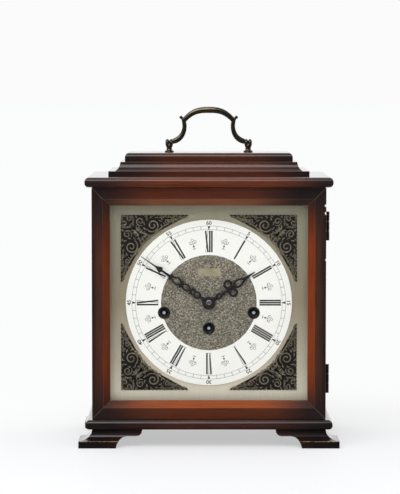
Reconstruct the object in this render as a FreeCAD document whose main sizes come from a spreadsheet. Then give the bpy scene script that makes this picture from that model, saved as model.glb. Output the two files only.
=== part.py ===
"""Bracket clock: wooden case, glazed front door, brass dial, carrying handle and a three-train movement.

Frame: the origin is the centre of the footprint on the table, +X is to the right seen from the front,
+Y is to the back and +Z is up.  All lengths are millimetres.
"""
import FreeCAD, Part
import math
import os
import Sketcher

V = FreeCAD.Vector
doc = FreeCAD.newDocument("bracket_clock")
sheet = doc.addObject("Spreadsheet::Sheet", "Sizes")


# ---------------------------------------------------------------------------------------------------
# Sizes
# ---------------------------------------------------------------------------------------------------
class Size:
    """A length with its formula in the sheet's words, so that sums and shares of sizes stay formulas."""

    def __init__(self, formula, value):
        self.formula = formula
        self.value = value

    def joined(self, sign, other, value, swap=False):
        first, second = (other, self) if swap else (self, other)
        return Size(f"({first.formula} {sign} {second.formula})", value)

    def __add__(self, other):
        other = as_size(other)
        return self.joined("+", other, self.value + other.value)

    def __radd__(self, other):
        return as_size(other) + self

    def __sub__(self, other):
        other = as_size(other)
        return self.joined("-", other, self.value - other.value)

    def __rsub__(self, other):
        return as_size(other) - self

    def __mul__(self, other):
        other = as_size(other)
        return self.joined("*", other, self.value * other.value)

    def __rmul__(self, other):
        return as_size(other) * self

    def __truediv__(self, other):
        other = as_size(other)
        return self.joined("/", other, self.value / other.value)

    def __neg__(self):
        return as_size(0) - self


def as_size(number):
    if isinstance(number, Size):
        return number
    return Size(f"{number:.6f}", float(number))


def size(alias, value, note):
    """Writes one driving size into the sheet and reads it back."""
    size.row += 1
    sheet.set(f"A{size.row}", alias)
    sheet.set(f"B{size.row}", str(value))
    sheet.set(f"C{size.row}", note)
    sheet.setAlias(f"B{size.row}", alias)
    return Size(f"Sizes.{alias}", float(sheet.getContents(f"B{size.row}")))


size.row = 0


# Case
case_width = size("case_width", 210, "case and door, side to side")
case_depth = size("case_depth", 132, "door front to case back")
case_height = size("case_height", 209, "plinth top to cornice underside")
side_thickness = size("side_thickness", 12, "side boards")
plinth_thickness = size("plinth_thickness", 8.8, "plinth board")
plinth_overhang = size("plinth_overhang", 6, "plinth board beyond the case")
cornice_thickness = size("cornice_thickness", 9, "cornice board")
cornice_overhang = size("cornice_overhang", 6, "cornice board beyond the case")
nosing = size("nosing", 4, "radius of the rounded edges of the plinth and cornice boards")

# Feet
foot_height = size("foot_height", 15.6, "table to plinth underside")
foot_pad = size("foot_pad", 6.4, "height of a foot's upright toe")
foot_spread = size("foot_spread", 12, "a foot's toe beyond the case")
foot_ledge = size("foot_ledge", 1.5, "flat top of a foot's toe, in front of its hollow")
foot_flat = size("foot_flat", 33.7, "length of a foot's sole")
foot_arch = size("foot_arch", 9.6, "radius of the arch beside the sole")
foot_length = size("foot_length", 57, "toe to the end of the bracket, along the plinth")
foot_heel = size("foot_heel", 5, "radius of the bracket's end under the plinth")
foot_wing = size("foot_wing", 24, "thickness of each wing of a bracket foot")

# Top moulding and cap
band_height = size("band_height", 4.9, "plain band above the cornice")
band_setback = size("band_setback", 20.5, "band behind the cornice edge")
cove_height = size("cove_height", 8, "hollow above the band")
cove_setback = size("cove_setback", 6, "foot of the hollow behind the band")
cove_run = size("cove_run", 4.5, "how far the hollow leans back")
cap_height = size("cap_height", 8, "cap block")
cap_setback = size("cap_setback", 4, "cap behind the top of the hollow")
cap_round = size("cap_round", 4, "radius on the cap's upper edge")

# Front door
door_thickness = size("door_thickness", 14.5, "front door")
door_gap = size("door_gap", 0.4, "air round a closed door")
door_face = size("door_face", 10, "flat face of a door rail or stile")
bevel_run = size("bevel_run", 6.2, "width of the bevel round the glass")
bevel_depth = size("bevel_depth", 5.5, "depth of the bevel round the glass")
glass_rebate = size("glass_rebate", 3.7, "overlap of frame and glass")
glass_thickness = size("glass_thickness", 2, "door glass")
glass_play = size("glass_play", 0.3, "air round the glass in its rebate")
bead_height = size("bead_height", 3, "glazing bead, front to back")

# Back door
back_thickness = size("back_thickness", 6, "back door")
back_rebate = size("back_rebate", 4, "overlap of back door and side board")
slot_width = size("slot_width", 3.6, "sound slot")
slot_length = size("slot_length", 70, "sound slot")
slot_pitch = size("slot_pitch", 11, "sound slot to sound slot")
knob_radius = size("knob_radius", 5, "back door's pull")
knob_length = size("knob_length", 6.5, "back door's pull, front to back")
knob_inset = size("knob_inset", 14, "back door's pull from the door's edge")

# Hinges
leaf_thickness = size("leaf_thickness", 0.8, "hinge leaf")
leaf_width = size("leaf_width", 6.5, "hinge leaf from the knuckle's middle")
leaf_height = size("leaf_height", 26, "hinge, top to bottom")
knuckle_radius = size("knuckle_radius", 1.8, "hinge knuckle")
hinge_pin = size("hinge_pin", 0.8, "radius of a hinge pin")
hinge_inset = size("hinge_inset", 22, "hinge from the door's top or bottom edge")
running_gap = size("running_gap", 0.07, "radial clearance of a pin or shaft in its hole")

# Dial
dial_drop = size("dial_drop", 0.2, "dial centre below the middle of the case")
dial_thickness = size("dial_thickness", 1.5, "dial plate")
dial_rebate = size("dial_rebate", 4, "overlap of dial plate and side board")
ring_radius = size("ring_radius", 75, "chapter ring, outside")
ring_bore = size("ring_bore", 43.25, "chapter ring, inside")
ring_thickness = size("ring_thickness", 0.9, "chapter ring")
centre_thickness = size("centre_thickness", 0.5, "matted centre disc")
spandrel_margin = size("spandrel_margin", 4.5, "corner ornament's outer edges beyond the chapter ring")
spandrel_tip = size("spandrel_tip", 18.5, "corner ornament's tips from the dial's middle lines")
spandrel_gap = size("spandrel_gap", 2, "corner ornament to chapter ring")
spandrel_thickness = size("spandrel_thickness", 1.6, "corner ornament")
spandrel_eye = size("spandrel_eye", 2.4, "radius of the piercing inside a scroll of a corner ornament")
name_width = size("name_width", 20.2, "bare name plate")
name_height = size("name_height", 6.9, "bare name plate")
name_rise = size("name_rise", 27.5, "name plate above the dial centre")
name_thickness = size("name_thickness", 0.5, "bare name plate")
bush_radius = size("bush_radius", 5.45, "flange of a winding-hole bush")
bush_neck = size("bush_neck", 4.3, "neck of a winding-hole bush in the dial plate")
bush_hole = size("bush_hole", 3.3, "winding hole")
bush_flange = size("bush_flange", 1.5, "flange of a winding-hole bush, front to back")
bush_play = size("bush_play", 0.2, "air between a bush and the ring or centre disc")

# Movement
motion_gap = size("motion_gap", 9, "dial plate to front movement plate")
plate_thickness = size("plate_thickness", 2, "movement plate")
plate_gap = size("plate_gap", 34, "front plate to back plate")
plate_half = size("plate_half", 64, "middle to side of a movement plate")
plate_above = size("plate_above", 50, "movement plate above the dial centre")
plate_below = size("plate_below", 47, "movement plate below the dial centre")
pillar_radius = size("pillar_radius", 3, "pillar between the plates")
pillar_inset = size("pillar_inset", 5.5, "pillar from the plate's edges")
pillar_nut = size("pillar_nut", 4.2, "radius of a pillar nut")
nut_height = size("nut_height", 2.5, "pillar nut")
dial_foot = size("dial_foot", 2, "radius of a dial foot")
side_arbor_x = size("side_arbor_x", 40.4, "strike and chime winding arbors beside the dial centre")
side_arbor_drop = size("side_arbor_drop", 9.1, "strike and chime winding arbors below the dial centre")
time_arbor_drop = size("time_arbor_drop", 23.1, "time winding arbor below the dial centre")
arbor_radius = size("arbor_radius", 3, "winding arbor in its barrel")
arbor_pivot = size("arbor_pivot", 2.4, "winding arbor in the plates")
key_square = size("key_square", 3.6, "winding square, across flats")
key_recess = size("key_recess", 0.3, "winding square behind the front of its bush")
square_foot = size("square_foot", 4, "end of the winding square in front of the front plate")
barrel_radius = size("barrel_radius", 17.5, "mainspring barrel")
barrel_length = size("barrel_length", 19, "mainspring barrel")
wheel_thickness = size("wheel_thickness", 1.5, "wheels of the trains")
great_thickness = size("great_thickness", 2.2, "great wheel on a barrel")
pinion_overlap = size("pinion_overlap", 0.5, "pinion leaves beyond each face of their wheel's rim")
wheel_air = size("wheel_air", 1.5, "least air between wheels that don't mesh, front to back")
end_shake = size("end_shake", 0.5, "air between a shoulder and its plate")
staff_radius = size("staff_radius", 0.8, "arbor of a train wheel")
centre_staff = size("centre_staff", 1, "centre arbor between the plates")
pivot_radius = size("pivot_radius", 0.6, "pivot of a train wheel in its plate")
second_x = size("second_x", 14.7, "second wheel beside the dial centre")
second_drop = size("second_drop", 5.64, "second wheel below the dial centre")
third_x = size("third_x", 7.2, "third wheel beside the dial centre, to the left")
third_rise = size("third_rise", 12.47, "third wheel above the dial centre")
escape_step = size("escape_step", 11.5, "third wheel to escape wheel, straight up")
escape_radius = size("escape_radius", 5.8, "escape wheel")
pallet_step = size("pallet_step", 8.6, "escape wheel to pallet arbor, straight up")
pallet_span = size("pallet_span", 5.3, "pallet from the middle of its lever")
pallet_drop = size("pallet_drop", 1.4, "top of a pallet below the pallet arbor")
balance_step = size("balance_step", 9.5, "pallet arbor to balance staff, straight up")
balance_radius = size("balance_radius", 8, "balance rim")
balance_rim = size("balance_rim", 1.6, "balance rim, inside to outside")
bridge_reach = size("bridge_reach", 3, "balance rim to the middle of a bridge post")
ratchet_radius = size("ratchet_radius", 7, "ratchet wheel on a winding arbor")
ratchet_depth = size("ratchet_depth", 1.1, "tooth of a ratchet wheel")
click_gap = size("click_gap", 0.35, "click's nose to the ratchet wheel")
click_reach = size("click_reach", 13, "winding arbor to click screw")
click_hub = size("click_hub", 2.8, "hub of a click")
click_screw = size("click_screw", 1.2, "radius of the screw that a click turns on")
stud_radius = size("stud_radius", 0.8, "stud of the minute wheel")
minute_wheel_x = size("minute_wheel_x", 9.6, "minute wheel beside the dial centre")
minute_wheel_rise = size("minute_wheel_rise", 7.2, "minute wheel above the dial centre")

# Hands
hand_thickness = size("hand_thickness", 0.6, "hour and minute hand")
hand_gap = size("hand_gap", 1.2, "air between dial and hour hand, and between the hands")
hour_length = size("hour_length", 50, "hour hand, centre to tip")
hour_boss = size("hour_boss", 6.6, "radius of the hour hand's boss")
hour_eye = size("hour_eye", 10.6, "centre to the small loop of the hour hand")
hour_loop = size("hour_loop", 23.2, "centre to the pair of large loops of the hour hand")
hour_spread = size("hour_spread", 4.6, "large loop beside the hour hand's middle line")
hour_loop_radius = size("hour_loop_radius", 4.2, "large loop of the hour hand")
hour_leaf = size("hour_leaf", 31.6, "centre to the leaf in front of the loops")
minute_length = size("minute_length", 74, "minute hand, centre to tip")
minute_boss = size("minute_boss", 5.6, "radius of the minute hand's boss")
minute_first = size("minute_first", 13.8, "centre to the first loop of the minute hand")
minute_second = size("minute_second", 25.2, "centre to the second loop of the minute hand")
minute_third = size("minute_third", 34.9, "centre to the third loop of the minute hand")
minute_shoulder = size("minute_shoulder", 41.7, "centre to the end of the minute hand's ornament")
minute_arrow = size("minute_arrow", 53.3, "centre to the small arrow on the minute hand")
arrow_length = size("arrow_length", 7, "small arrow on the minute hand")
loop_radius = size("loop_radius", 3.3, "small loops of the hands")
needle = size("needle", 0.6, "half the width of a hand's needle")
cannon_radius = size("cannon_radius", 1.9, "pipe of the cannon pinion")
centre_pivot = size("centre_pivot", 1.15, "centre arbor in front of the plates")
hour_pipe = size("hour_pipe", 2.8, "pipe of the hour wheel")
hand_nut_radius = size("hand_nut_radius", 2.9, "nut that holds the minute hand")
hand_nut_height = size("hand_nut_height", 1.5, "nut that holds the minute hand")

# Chime
chime_x = size("chime_x", 24, "middle of the hammers beside the dial centre")
hammer_length = size("hammer_length", 24, "hammer spindle to hammer head")
hammer_pitch = size("hammer_pitch", 9, "hammer to hammer")
hammer_head = size("hammer_head", 3.6, "radius of a hammer head")
head_length = size("head_length", 9, "hammer head, front to back")
hammer_hub = size("hammer_hub", 2.9, "radius of a hammer's hub")
hammer_stand = size("hammer_stand", 8, "hammer spindle behind the back plate")
hammer_drop = size("hammer_drop", 4, "hammer spindle below the back plate's edge")
spindle_radius = size("spindle_radius", 1.2, "hammer spindle")
rod_radius = size("rod_radius", 1, "chime rod")
rod_length = size("rod_length", 96, "longest chime rod")
rod_step = size("rod_step", 7, "each chime rod shorter than the last")
rod_gap = size("rod_gap", 1.6, "hammer head to chime rod, at rest")
rod_block_height = size("rod_block_height", 14, "block that holds the chime rods, height and depth")

# Handle
post_x = size("post_x", 36.3, "handle post beside the middle")
post_flange = size("post_flange", 4.3, "radius of a handle post's foot")
post_neck = size("post_neck", 2.65, "radius of a handle post's neck")
post_rise = size("post_rise", 8.3, "cap top to the middle of a post's head")
post_head = size("post_head", 3.7, "half the width of a handle post's head")
lobe_radius = size("lobe_radius", 3.5, "lobes of a handle post's head")
bail_rise = size("bail_rise", 30.4, "pivot to the middle of the grip's top")
bail_waist = size("bail_waist", 22.3, "narrowest place of the handle, beside the middle")
grip_radius = size("grip_radius", 2.8, "grip at its middle")
arm_radius = size("arm_radius", 1.9, "handle arms")
ear_radius = size("ear_radius", 1.5, "ball at the end of a handle's ear")
ear_flare = size("ear_flare", 3.4, "handle's ear beyond its waist")
bail_shake = size("bail_shake", 0.7, "air between the handle and a post's head")
bail_pin = size("bail_pin", 1.1, "radius of the handle's pivots")
bail_bite = size("bail_bite", 4, "handle's pivot inside a post's head")


# ---------------------------------------------------------------------------------------------------
# Ways of making a piece
# ---------------------------------------------------------------------------------------------------
pieces = []
AXES = {
    "X": FreeCAD.Rotation(V(0, 1, 0), 90),
    "Y": FreeCAD.Rotation(V(1, 0, 0), -90),
    "-Y": FreeCAD.Rotation(V(1, 0, 0), 90),
    "Z": FreeCAD.Rotation(),
}
# Corners of the regular outlines that stand for circles, where a true circle would cost too many faces.
TINY = 6
SMALL = 8
ROUND = 12
DRUM = 16
BORE = 36
RING = 60


def piece(label, thing):
    """Names a finished sub-part, which is then written to its own file."""
    thing.Label = label
    pieces.append(thing)
    return thing


def bind(thing, path, length):
    thing.setExpression(path, as_size(length).formula)


def place(thing, x, y, z, turn="Z"):
    """Puts a thing's own origin at (x, y, z), with its own Z along the named axis or turned by a rotation."""
    thing.Placement = FreeCAD.Placement(V(), AXES[turn] if isinstance(turn, str) else turn)
    for letter, length in zip("xyz", (x, y, z)):
        bind(thing, f"Placement.Base.{letter}", length)
    return thing


def about_y(degrees):
    """A turn in the dial's plane, clockwise as the dial is seen."""
    return FreeCAD.Rotation(V(0, 1, 0), degrees)


def block(name, low, high):
    """A box between two corners."""
    box = doc.addObject("Part::Box", name)
    for side, start, end in zip(("Length", "Width", "Height"), low, high):
        bind(box, side, end - start)
    return place(box, *low)


def rod(name, axis, x, y, z, radius, length):
    """A cylinder that starts at (x, y, z) and runs along the axis."""
    cylinder = doc.addObject("Part::Cylinder", name)
    bind(cylinder, "Radius", radius)
    bind(cylinder, "Height", length)
    return place(cylinder, x, y, z, axis)


def peg(name, axis, x, y, z, radius, length, sides=SMALL):
    """A rod with flat sides, whose corners lie on the radius."""
    prism_peg = doc.addObject("Part::Prism", name)
    prism_peg.Polygon = sides
    bind(prism_peg, "Circumradius", radius)
    bind(prism_peg, "Height", length)
    return place(prism_peg, x, y, z, axis)


def hole(name, axis, x, y, z, radius, length, sides=SMALL):
    """A cutter for a hole whose flat sides touch the radius, so that a round shaft turns in it."""
    return peg(name, axis, x, y, z, as_size(radius) / math.cos(math.pi / sides), length, sides)


def skin(rings):
    """A solid between outlines with as many corners each, closed at both ends."""
    faces = [Part.Face(Part.makePolygon(ring + ring[:1])) for ring in (rings[0], rings[-1])]
    for low, high in zip(rings, rings[1:]):
        for corner in range(len(low)):
            after = (corner + 1) % len(low)
            faces.append(Part.Face(Part.makePolygon([low[corner], low[after], high[after], low[corner]])))
            faces.append(Part.Face(Part.makePolygon([low[corner], high[after], high[corner], low[corner]])))
    body = Part.Solid(Part.Shell(faces))
    if body.Volume < 0:
        body.reverse()
    return body.removeSplitter()


def lathed(name, axis, x, y, z, steps, sides=ROUND):
    """A turned form with flat sides, through (radius, height) steps along the axis."""
    turns = [2 * math.pi * corner / sides for corner in range(sides)]
    profile = [(as_size(radius).value, as_size(height).value) for radius, height in steps]
    rings = [[V(radius * math.cos(turn), radius * math.sin(turn), height) for turn in turns]
             for radius, height in profile]
    return solid(name, skin(rings), x, y, z, axis)


def joined(name, *things):
    fusion = doc.addObject("Part::MultiFuse", name)
    fusion.Shapes = list(things)
    fusion.Refine = True
    return fusion


def cut(name, base, *tools):
    for number, tool in enumerate(tools):
        step = doc.addObject("Part::Cut", name if number == len(tools) - 1 else f"{name}_{number}")
        step.Base = base
        step.Tool = tool
        base = step
    return base


def shared(name, *things):
    common = doc.addObject("Part::MultiCommon", name)
    common.Shapes = list(things)
    return common


def mirrored(name, source, normal):
    mirror = doc.addObject("Part::Mirroring", name)
    mirror.Source = source
    mirror.Normal = normal
    return mirror


def group(name, *things):
    compound = doc.addObject("Part::Compound", name)
    compound.Links = list(things)
    return compound


def arc(x, y, radius, turn):
    """A corner reached by an arc of less than half a turn: turn is 1 for anticlockwise, -1 for clockwise."""
    return (x, y, radius, turn)


def quarter(start, corner, end, chords=4):
    """A quarter round in chords: it leaves start towards corner and comes to end square to that."""
    points = []
    for number in range(1, chords + 1):
        turn = math.pi / 2 * number / chords
        ahead, aside = math.sin(turn), 1 - math.cos(turn)
        points.append(tuple(as_size(first) + (middle - first) * ahead + (last - middle) * aside
                            for first, middle, last in zip(start, corner, end)))
    return points


def draw(sketch, loop):
    """Adds a closed loop of corners joined by lines and arcs, each tied to its sizes."""
    corners = [tuple(as_size(part) for part in corner) for corner in loop]
    edges = []
    for start, end in zip([corners[-1]] + corners[:-1], corners):
        first = V(start[0].value, start[1].value, 0)
        last = V(end[0].value, end[1].value, 0)
        if len(end) == 2:
            index = sketch.addGeometry(Part.LineSegment(first, last), False)
            edges.append((index, 1, 2))
            continue
        radius, turn = end[2], end[3].value
        chord = last - first
        rise = math.sqrt(max(radius.value ** 2 - chord.Length ** 2 / 4, 0))
        middle = (first + last) / 2 + V(-chord.y, chord.x, 0).normalize() * rise * turn
        angles = [math.atan2(point.y - middle.y, point.x - middle.x) for point in (first, last)]
        if turn < 0:
            angles.reverse()
        whole = Part.Circle(middle, V(0, 0, 1), radius.value)
        index = sketch.addGeometry(Part.ArcOfCircle(whole, *angles), False)
        tie(sketch, "Radius", radius, index)
        edges.append((index, 1, 2) if turn > 0 else (index, 2, 1))
    for (index, start, _), (before, _, end), corner in zip(edges, [edges[-1]] + edges[:-1],
                                                           [corners[-1]] + corners[:-1]):
        sketch.addConstraint(Sketcher.Constraint("Coincident", before, end, index, start))
        tie(sketch, "DistanceX", corner[0], -1, 1, index, start)
        tie(sketch, "DistanceY", corner[1], -1, 1, index, start)


def tie(sketch, kind, length, *where):
    number = sketch.addConstraint(Sketcher.Constraint(kind, *where, length.value))
    bind(sketch, f"Constraints[{number}]", length)


def new_sketch(body, name, plane, offset=0):
    """A sketch on one of the body's own origin planes, moved along the plane's normal."""
    sketch = body.newObject("Sketcher::SketchObject", name)
    origin_plane = next(item for item in body.Origin.OriginFeatures if item.Role == plane)
    sketch.AttachmentSupport = [(origin_plane, "")]
    sketch.MapMode = "FlatFace"
    bind(sketch, "AttachmentOffset.Base.z", offset)
    return sketch


def prism(name, plane, low, high, *loops):
    """Outlines padded from low to high: XY ones along Z, XZ ones along Y and YZ ones along X."""
    body = doc.addObject("PartDesign::Body", name)
    offset = -as_size(high) if plane == "XZ_Plane" else low
    sketch = new_sketch(body, f"{name}_outline", plane, offset)
    for loop in loops:
        draw(sketch, loop)
    pad = body.newObject("PartDesign::Pad", f"{name}_pad")
    pad.Profile = sketch
    bind(pad, "Length", high - low)
    return body


def solid(name, shape, x=0, y=0, z=0, turn="Z"):
    """A shape that is worked out in code, placed at (x, y, z)."""
    feature = doc.addObject("Part::Feature", name)
    feature.Shape = shape
    return place(feature, x, y, z, turn)


# ---------------------------------------------------------------------------------------------------
# Levels and planes that the pieces share
# ---------------------------------------------------------------------------------------------------
half_width = case_width / 2
half_depth = case_depth / 2
plinth_top = foot_height + plinth_thickness
case_top = plinth_top + case_height
cornice_top = case_top + cornice_thickness
moulding_top = cornice_top + band_height + cove_height
cap_top = moulding_top + cap_height
door_low = plinth_top + door_gap
door_high = case_top - door_gap
door_front = -half_depth
door_back = door_front + door_thickness
case_front = door_back + door_gap
side_inner = half_width - side_thickness
dial_front = case_front
dial_back = dial_front + dial_thickness
dial_z = plinth_top + case_height / 2 - dial_drop
front_plate_y = dial_back + motion_gap
train_y = front_plate_y + plate_thickness
back_plate_y = train_y + plate_gap
works_back = back_plate_y + plate_thickness


# ---------------------------------------------------------------------------------------------------
# Case
# ---------------------------------------------------------------------------------------------------
def mitred(name, front_loop, side_loop, half_front, half_side):
    """A moulded board whose front and side edges show their profiles and meet in mitres."""
    front = prism(f"{name}_front", "XZ_Plane", -half_side, half_side, front_loop)
    side = prism(f"{name}_side", "YZ_Plane", -half_front, half_front, side_loop)
    return shared(name, front, side)


def nosed_board(name, half_x, half_y, low, high):
    """A board with rounded front and side edges and a square back edge."""
    def end(half):
        return [(half - nosing, low), arc(half, low + nosing, nosing, 1),
                (half, high - nosing), arc(half - nosing, high, nosing, 1)]

    def start(half):
        return [(-half + nosing, high), arc(-half, high - nosing, nosing, 1),
                (-half, low + nosing), arc(-half + nosing, low, nosing, 1)]

    front_loop = end(half_x) + start(half_x)
    side_loop = [(half_y, low), (half_y, high)] + start(half_y)
    return piece(name, mitred(name, front_loop, side_loop, half_x, half_y))


plinth_x = half_width + plinth_overhang
plinth_y = half_depth + plinth_overhang
nosed_board("base_plinth", plinth_x, plinth_y, foot_height, plinth_top)
cornice_x = half_width + cornice_overhang
cornice_y = half_depth + cornice_overhang
nosed_board("cornice_board", cornice_x, cornice_y, case_top, cornice_top)


def hollow_radius(run, height):
    """Radius of a hollow that ends upright after rising by height and leaning back by run."""
    return (run * run + height * height) / (2 * run)


band_x = cornice_x - band_setback
band_y = cornice_y - band_setback


def stepped_moulding(half):
    """Band and hollow of the top moulding, from one end to the other."""
    band_top = cornice_top + band_height
    hollow_low = half - cove_setback
    hollow_high = hollow_low - cove_run
    radius = hollow_radius(cove_run, cove_height)
    return [(half, cornice_top), (half, band_top), (hollow_low, band_top),
            arc(hollow_high, moulding_top, radius, -1), (-hollow_high, moulding_top),
            arc(-hollow_low, band_top, radius, -1), (-half, band_top), (-half, cornice_top)]


piece("top_moulding", mitred("top_moulding", stepped_moulding(band_x), stepped_moulding(band_y),
                             band_x, band_y))
cap_x = band_x - cove_setback - cove_run - cap_setback
cap_y = band_y - cove_setback - cove_run - cap_setback


def cap_loop(half):
    return [(-half, moulding_top), (half, moulding_top), (half, cap_top - cap_round),
            arc(half - cap_round, cap_top, cap_round, 1), (-half + cap_round, cap_top),
            arc(-half, cap_top - cap_round, cap_round, 1)]


piece("cap_block", mitred("cap_block", cap_loop(cap_x), cap_loop(cap_y), cap_x, cap_y))


def bracket_loop(toe):
    """Outline of a bracket foot, toe first, towards the middle of the plinth."""
    sole_end = toe + foot_flat
    heel_x = toe + foot_length
    root_x = toe + foot_spread
    arch = quarter((sole_end, 0), (sole_end, foot_arch), (sole_end + foot_arch, foot_arch))
    heel = quarter((heel_x - foot_heel, foot_arch), (heel_x, foot_arch), (heel_x, foot_arch + foot_heel), 3)
    hollow = quarter((root_x, foot_height), (root_x, foot_pad), (toe + foot_ledge, foot_pad))
    return ([(toe, 0), (sole_end, 0)] + arch + [(heel_x - foot_heel, foot_arch)] + heel
            + [(heel_x, foot_height), (root_x, foot_height)] + hollow + [(toe, foot_pad)])


def bracket_foot():
    """One mitred bracket foot, at the front left corner."""
    toe_x = -half_width - foot_spread
    toe_y = -half_depth - foot_spread
    front = prism("foot_front_view", "XZ_Plane", toe_y, toe_y + foot_length, bracket_loop(toe_x))
    side = prism("foot_side_view", "YZ_Plane", toe_x, toe_x + foot_length, bracket_loop(toe_y))
    moulded = shared("foot_moulded", front, side)
    inside = block("foot_inside", (toe_x + foot_wing, toe_y + foot_wing, -foot_pad),
                   (toe_x + 2 * foot_length, toe_y + 2 * foot_length, 2 * foot_height))
    return cut("foot_wings", moulded, inside)


front_left = bracket_foot()
front_right = mirrored("foot_front_right", front_left, V(1, 0, 0))
rear_left = mirrored("foot_rear_left", front_left, V(0, 1, 0))
rear_right = mirrored("foot_rear_right", front_right, V(0, 1, 0))
piece("bracket_feet", group("bracket_feet", front_left, front_right, rear_left, rear_right))
# Hinges: two on each door, each with a leaf on the case and a leaf on the door.
ENDS = ("low", "high")
third = leaf_height / 3
knuckle_gap = door_gap / 2
hinge_levels = [door_low + hinge_inset + leaf_height / 2, door_high - hinge_inset - leaf_height / 2]
front_hinge_x = half_width + knuckle_radius
front_hinge_y = door_back + door_gap / 2
back_hinge_x = side_inner + back_rebate - door_gap / 2
back_hinge_y = half_depth + knuckle_radius


def case_spans(z):
    """Start and length of the two knuckles on the case's leaf."""
    length = third - knuckle_gap
    return [(z - leaf_height / 2, length), (z + third / 2 + knuckle_gap, length)]


def door_spans(z):
    """Start and length of the one knuckle on the door's leaf."""
    return [(z - third / 2 + knuckle_gap, third - 2 * knuckle_gap)]


def hinge_leaf(name, leaf, x, y, z, spans, tongue, pinned):
    """A leaf with its knuckles; the case's leaf holds the pin and the door's leaf is bored for it."""
    parts = [leaf]
    for number, (start, length) in enumerate(spans):
        parts.append(tongue(f"{name}_tongue_{number}", start, length))
        parts.append(peg(f"{name}_knuckle_{number}", "Z", x, y, start, knuckle_radius, length))
    if pinned:
        parts.append(rod(f"{name}_pin", "Z", x, y, z - leaf_height / 2, hinge_pin, leaf_height))
        return joined(name, *parts)
    bore = hole(f"{name}_bore", "Z", x, y, z - third, hinge_pin + running_gap, 2 * third)
    return cut(name, joined(f"{name}_blank", *parts), bore)


def front_leaf_box(name, z, on_case):
    """Room of one leaf of a front hinge, let into the case side or into the door stile."""
    start = case_front if on_case else door_back - leaf_thickness
    return block(name, (front_hinge_x - leaf_width - knuckle_radius, start, z - leaf_height / 2),
                 (half_width, start + leaf_thickness, z + leaf_height / 2))


def front_hinge_leaf(name, z, on_case):
    start_y = case_front if on_case else door_back - leaf_thickness

    def tongue(part, start, length):
        return block(part, (half_width, start_y, start),
                     (front_hinge_x, start_y + leaf_thickness, start + length))

    return hinge_leaf(name, front_leaf_box(f"{name}_leaf", z, on_case), front_hinge_x, front_hinge_y, z,
                      case_spans(z) if on_case else door_spans(z), tongue, on_case)


def back_hinge_leaf(name, z, on_case):
    """A leaf screwed on the back of the case side, or on the back door."""
    sign = 1 if on_case else -1
    far = back_hinge_x + sign * leaf_width
    near = back_hinge_x + sign * (knuckle_radius + knuckle_gap)
    low_x, high_x = (near, far) if on_case else (far, near)
    leaf = block(f"{name}_leaf", (low_x, half_depth, z - leaf_height / 2),
                 (high_x, half_depth + leaf_thickness, z + leaf_height / 2))

    def tongue(part, start, length):
        inner, outer = (back_hinge_x, near) if on_case else (near, back_hinge_x)
        return block(part, (inner, half_depth, start), (outer, half_depth + leaf_thickness, start + length))

    return hinge_leaf(name, leaf, back_hinge_x, back_hinge_y, z,
                      case_spans(z) if on_case else door_spans(z), tongue, on_case)


for side, make in (("front", front_hinge_leaf), ("back", back_hinge_leaf)):
    for owner, on_case in (("case", True), ("door", False)):
        label = f"{side}_hinge_{owner}_leaves"
        piece(label, group(label, *[make(f"{side}_{owner}_leaf_{end}", z, on_case)
                                    for end, z in zip(ENDS, hinge_levels)]))


def side_board(name, sign):
    """A side of the case, rebated for the dial plate in front and for the back door behind."""
    outer = sign * half_width
    inner = sign * side_inner
    rear = half_depth
    loop = [(outer, case_front), (outer, rear), (inner + sign * back_rebate, rear),
            (inner + sign * back_rebate, rear - back_thickness), (inner, rear - back_thickness),
            (inner, dial_back), (inner + sign * dial_rebate, dial_back),
            (inner + sign * dial_rebate, case_front)]
    return prism(name, "XY_Plane", plinth_top, case_top, loop)


piece("side_board_left", side_board("side_board_left", -1))
right_board = side_board("right_board_blank", 1)
mortises = [front_leaf_box(f"side_mortise_{end}", z, True) for end, z in zip(ENDS, hinge_levels)]
piece("side_board_right", cut("side_board_right", right_board, *mortises))


# ---------------------------------------------------------------------------------------------------
# Front door
# ---------------------------------------------------------------------------------------------------
sight = half_width - door_face - bevel_run
rebate_line = sight + glass_rebate
frame_inset = door_face + bevel_run


def member_section(outer, sign):
    """Section of a stile or rail as (across, front to back), outer edge first."""
    return [(outer, door_front), (outer - sign * door_face, door_front),
            (outer - sign * frame_inset, door_front + bevel_depth),
            (outer - sign * (frame_inset - glass_rebate), door_front + bevel_depth),
            (outer - sign * (frame_inset - glass_rebate), door_back), (outer, door_back)]


def stile(name, sign):
    """An upright of the door frame, mitred at both ends."""
    outer = sign * half_width
    section = prism(f"{name}_section", "XY_Plane", door_low, door_high, member_section(outer, sign))
    inner = sign * sight
    wedge = prism(f"{name}_wedge", "XZ_Plane", door_front, door_back,
                  [(outer, door_low), (inner, door_low + frame_inset), (inner, door_high - frame_inset),
                   (outer, door_high)])
    return shared(name, section, wedge)


def rail(name, outer, sign):
    """A cross piece of the door frame, mitred at both ends."""
    loop = [(y, z) for z, y in member_section(outer, sign)]
    section = prism(f"{name}_section", "YZ_Plane", -half_width, half_width, loop)
    inner = outer - sign * frame_inset
    wedge = prism(f"{name}_wedge", "XZ_Plane", door_front, door_back,
                  [(-half_width, outer), (-sight, inner), (sight, inner), (half_width, outer)])
    return shared(name, section, wedge)


piece("door_stile_left", stile("door_stile_left", -1))
door_mortises = [front_leaf_box(f"door_mortise_{end}", z, False) for end, z in zip(ENDS, hinge_levels)]
piece("door_stile_right", cut("door_stile_right", stile("right_stile_blank", 1), *door_mortises))
piece("door_rail_bottom", rail("door_rail_bottom", door_low, -1))
piece("door_rail_top", rail("door_rail_top", door_high, 1))

rebate_low = door_low + frame_inset - glass_rebate
rebate_high = door_high - frame_inset + glass_rebate
glass_front = door_front + bevel_depth
glass_back = glass_front + glass_thickness
piece("door_glass", block("door_glass",
                          (-rebate_line + glass_play, glass_front, rebate_low + glass_play),
                          (rebate_line - glass_play, glass_back, rebate_high - glass_play)))


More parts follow.
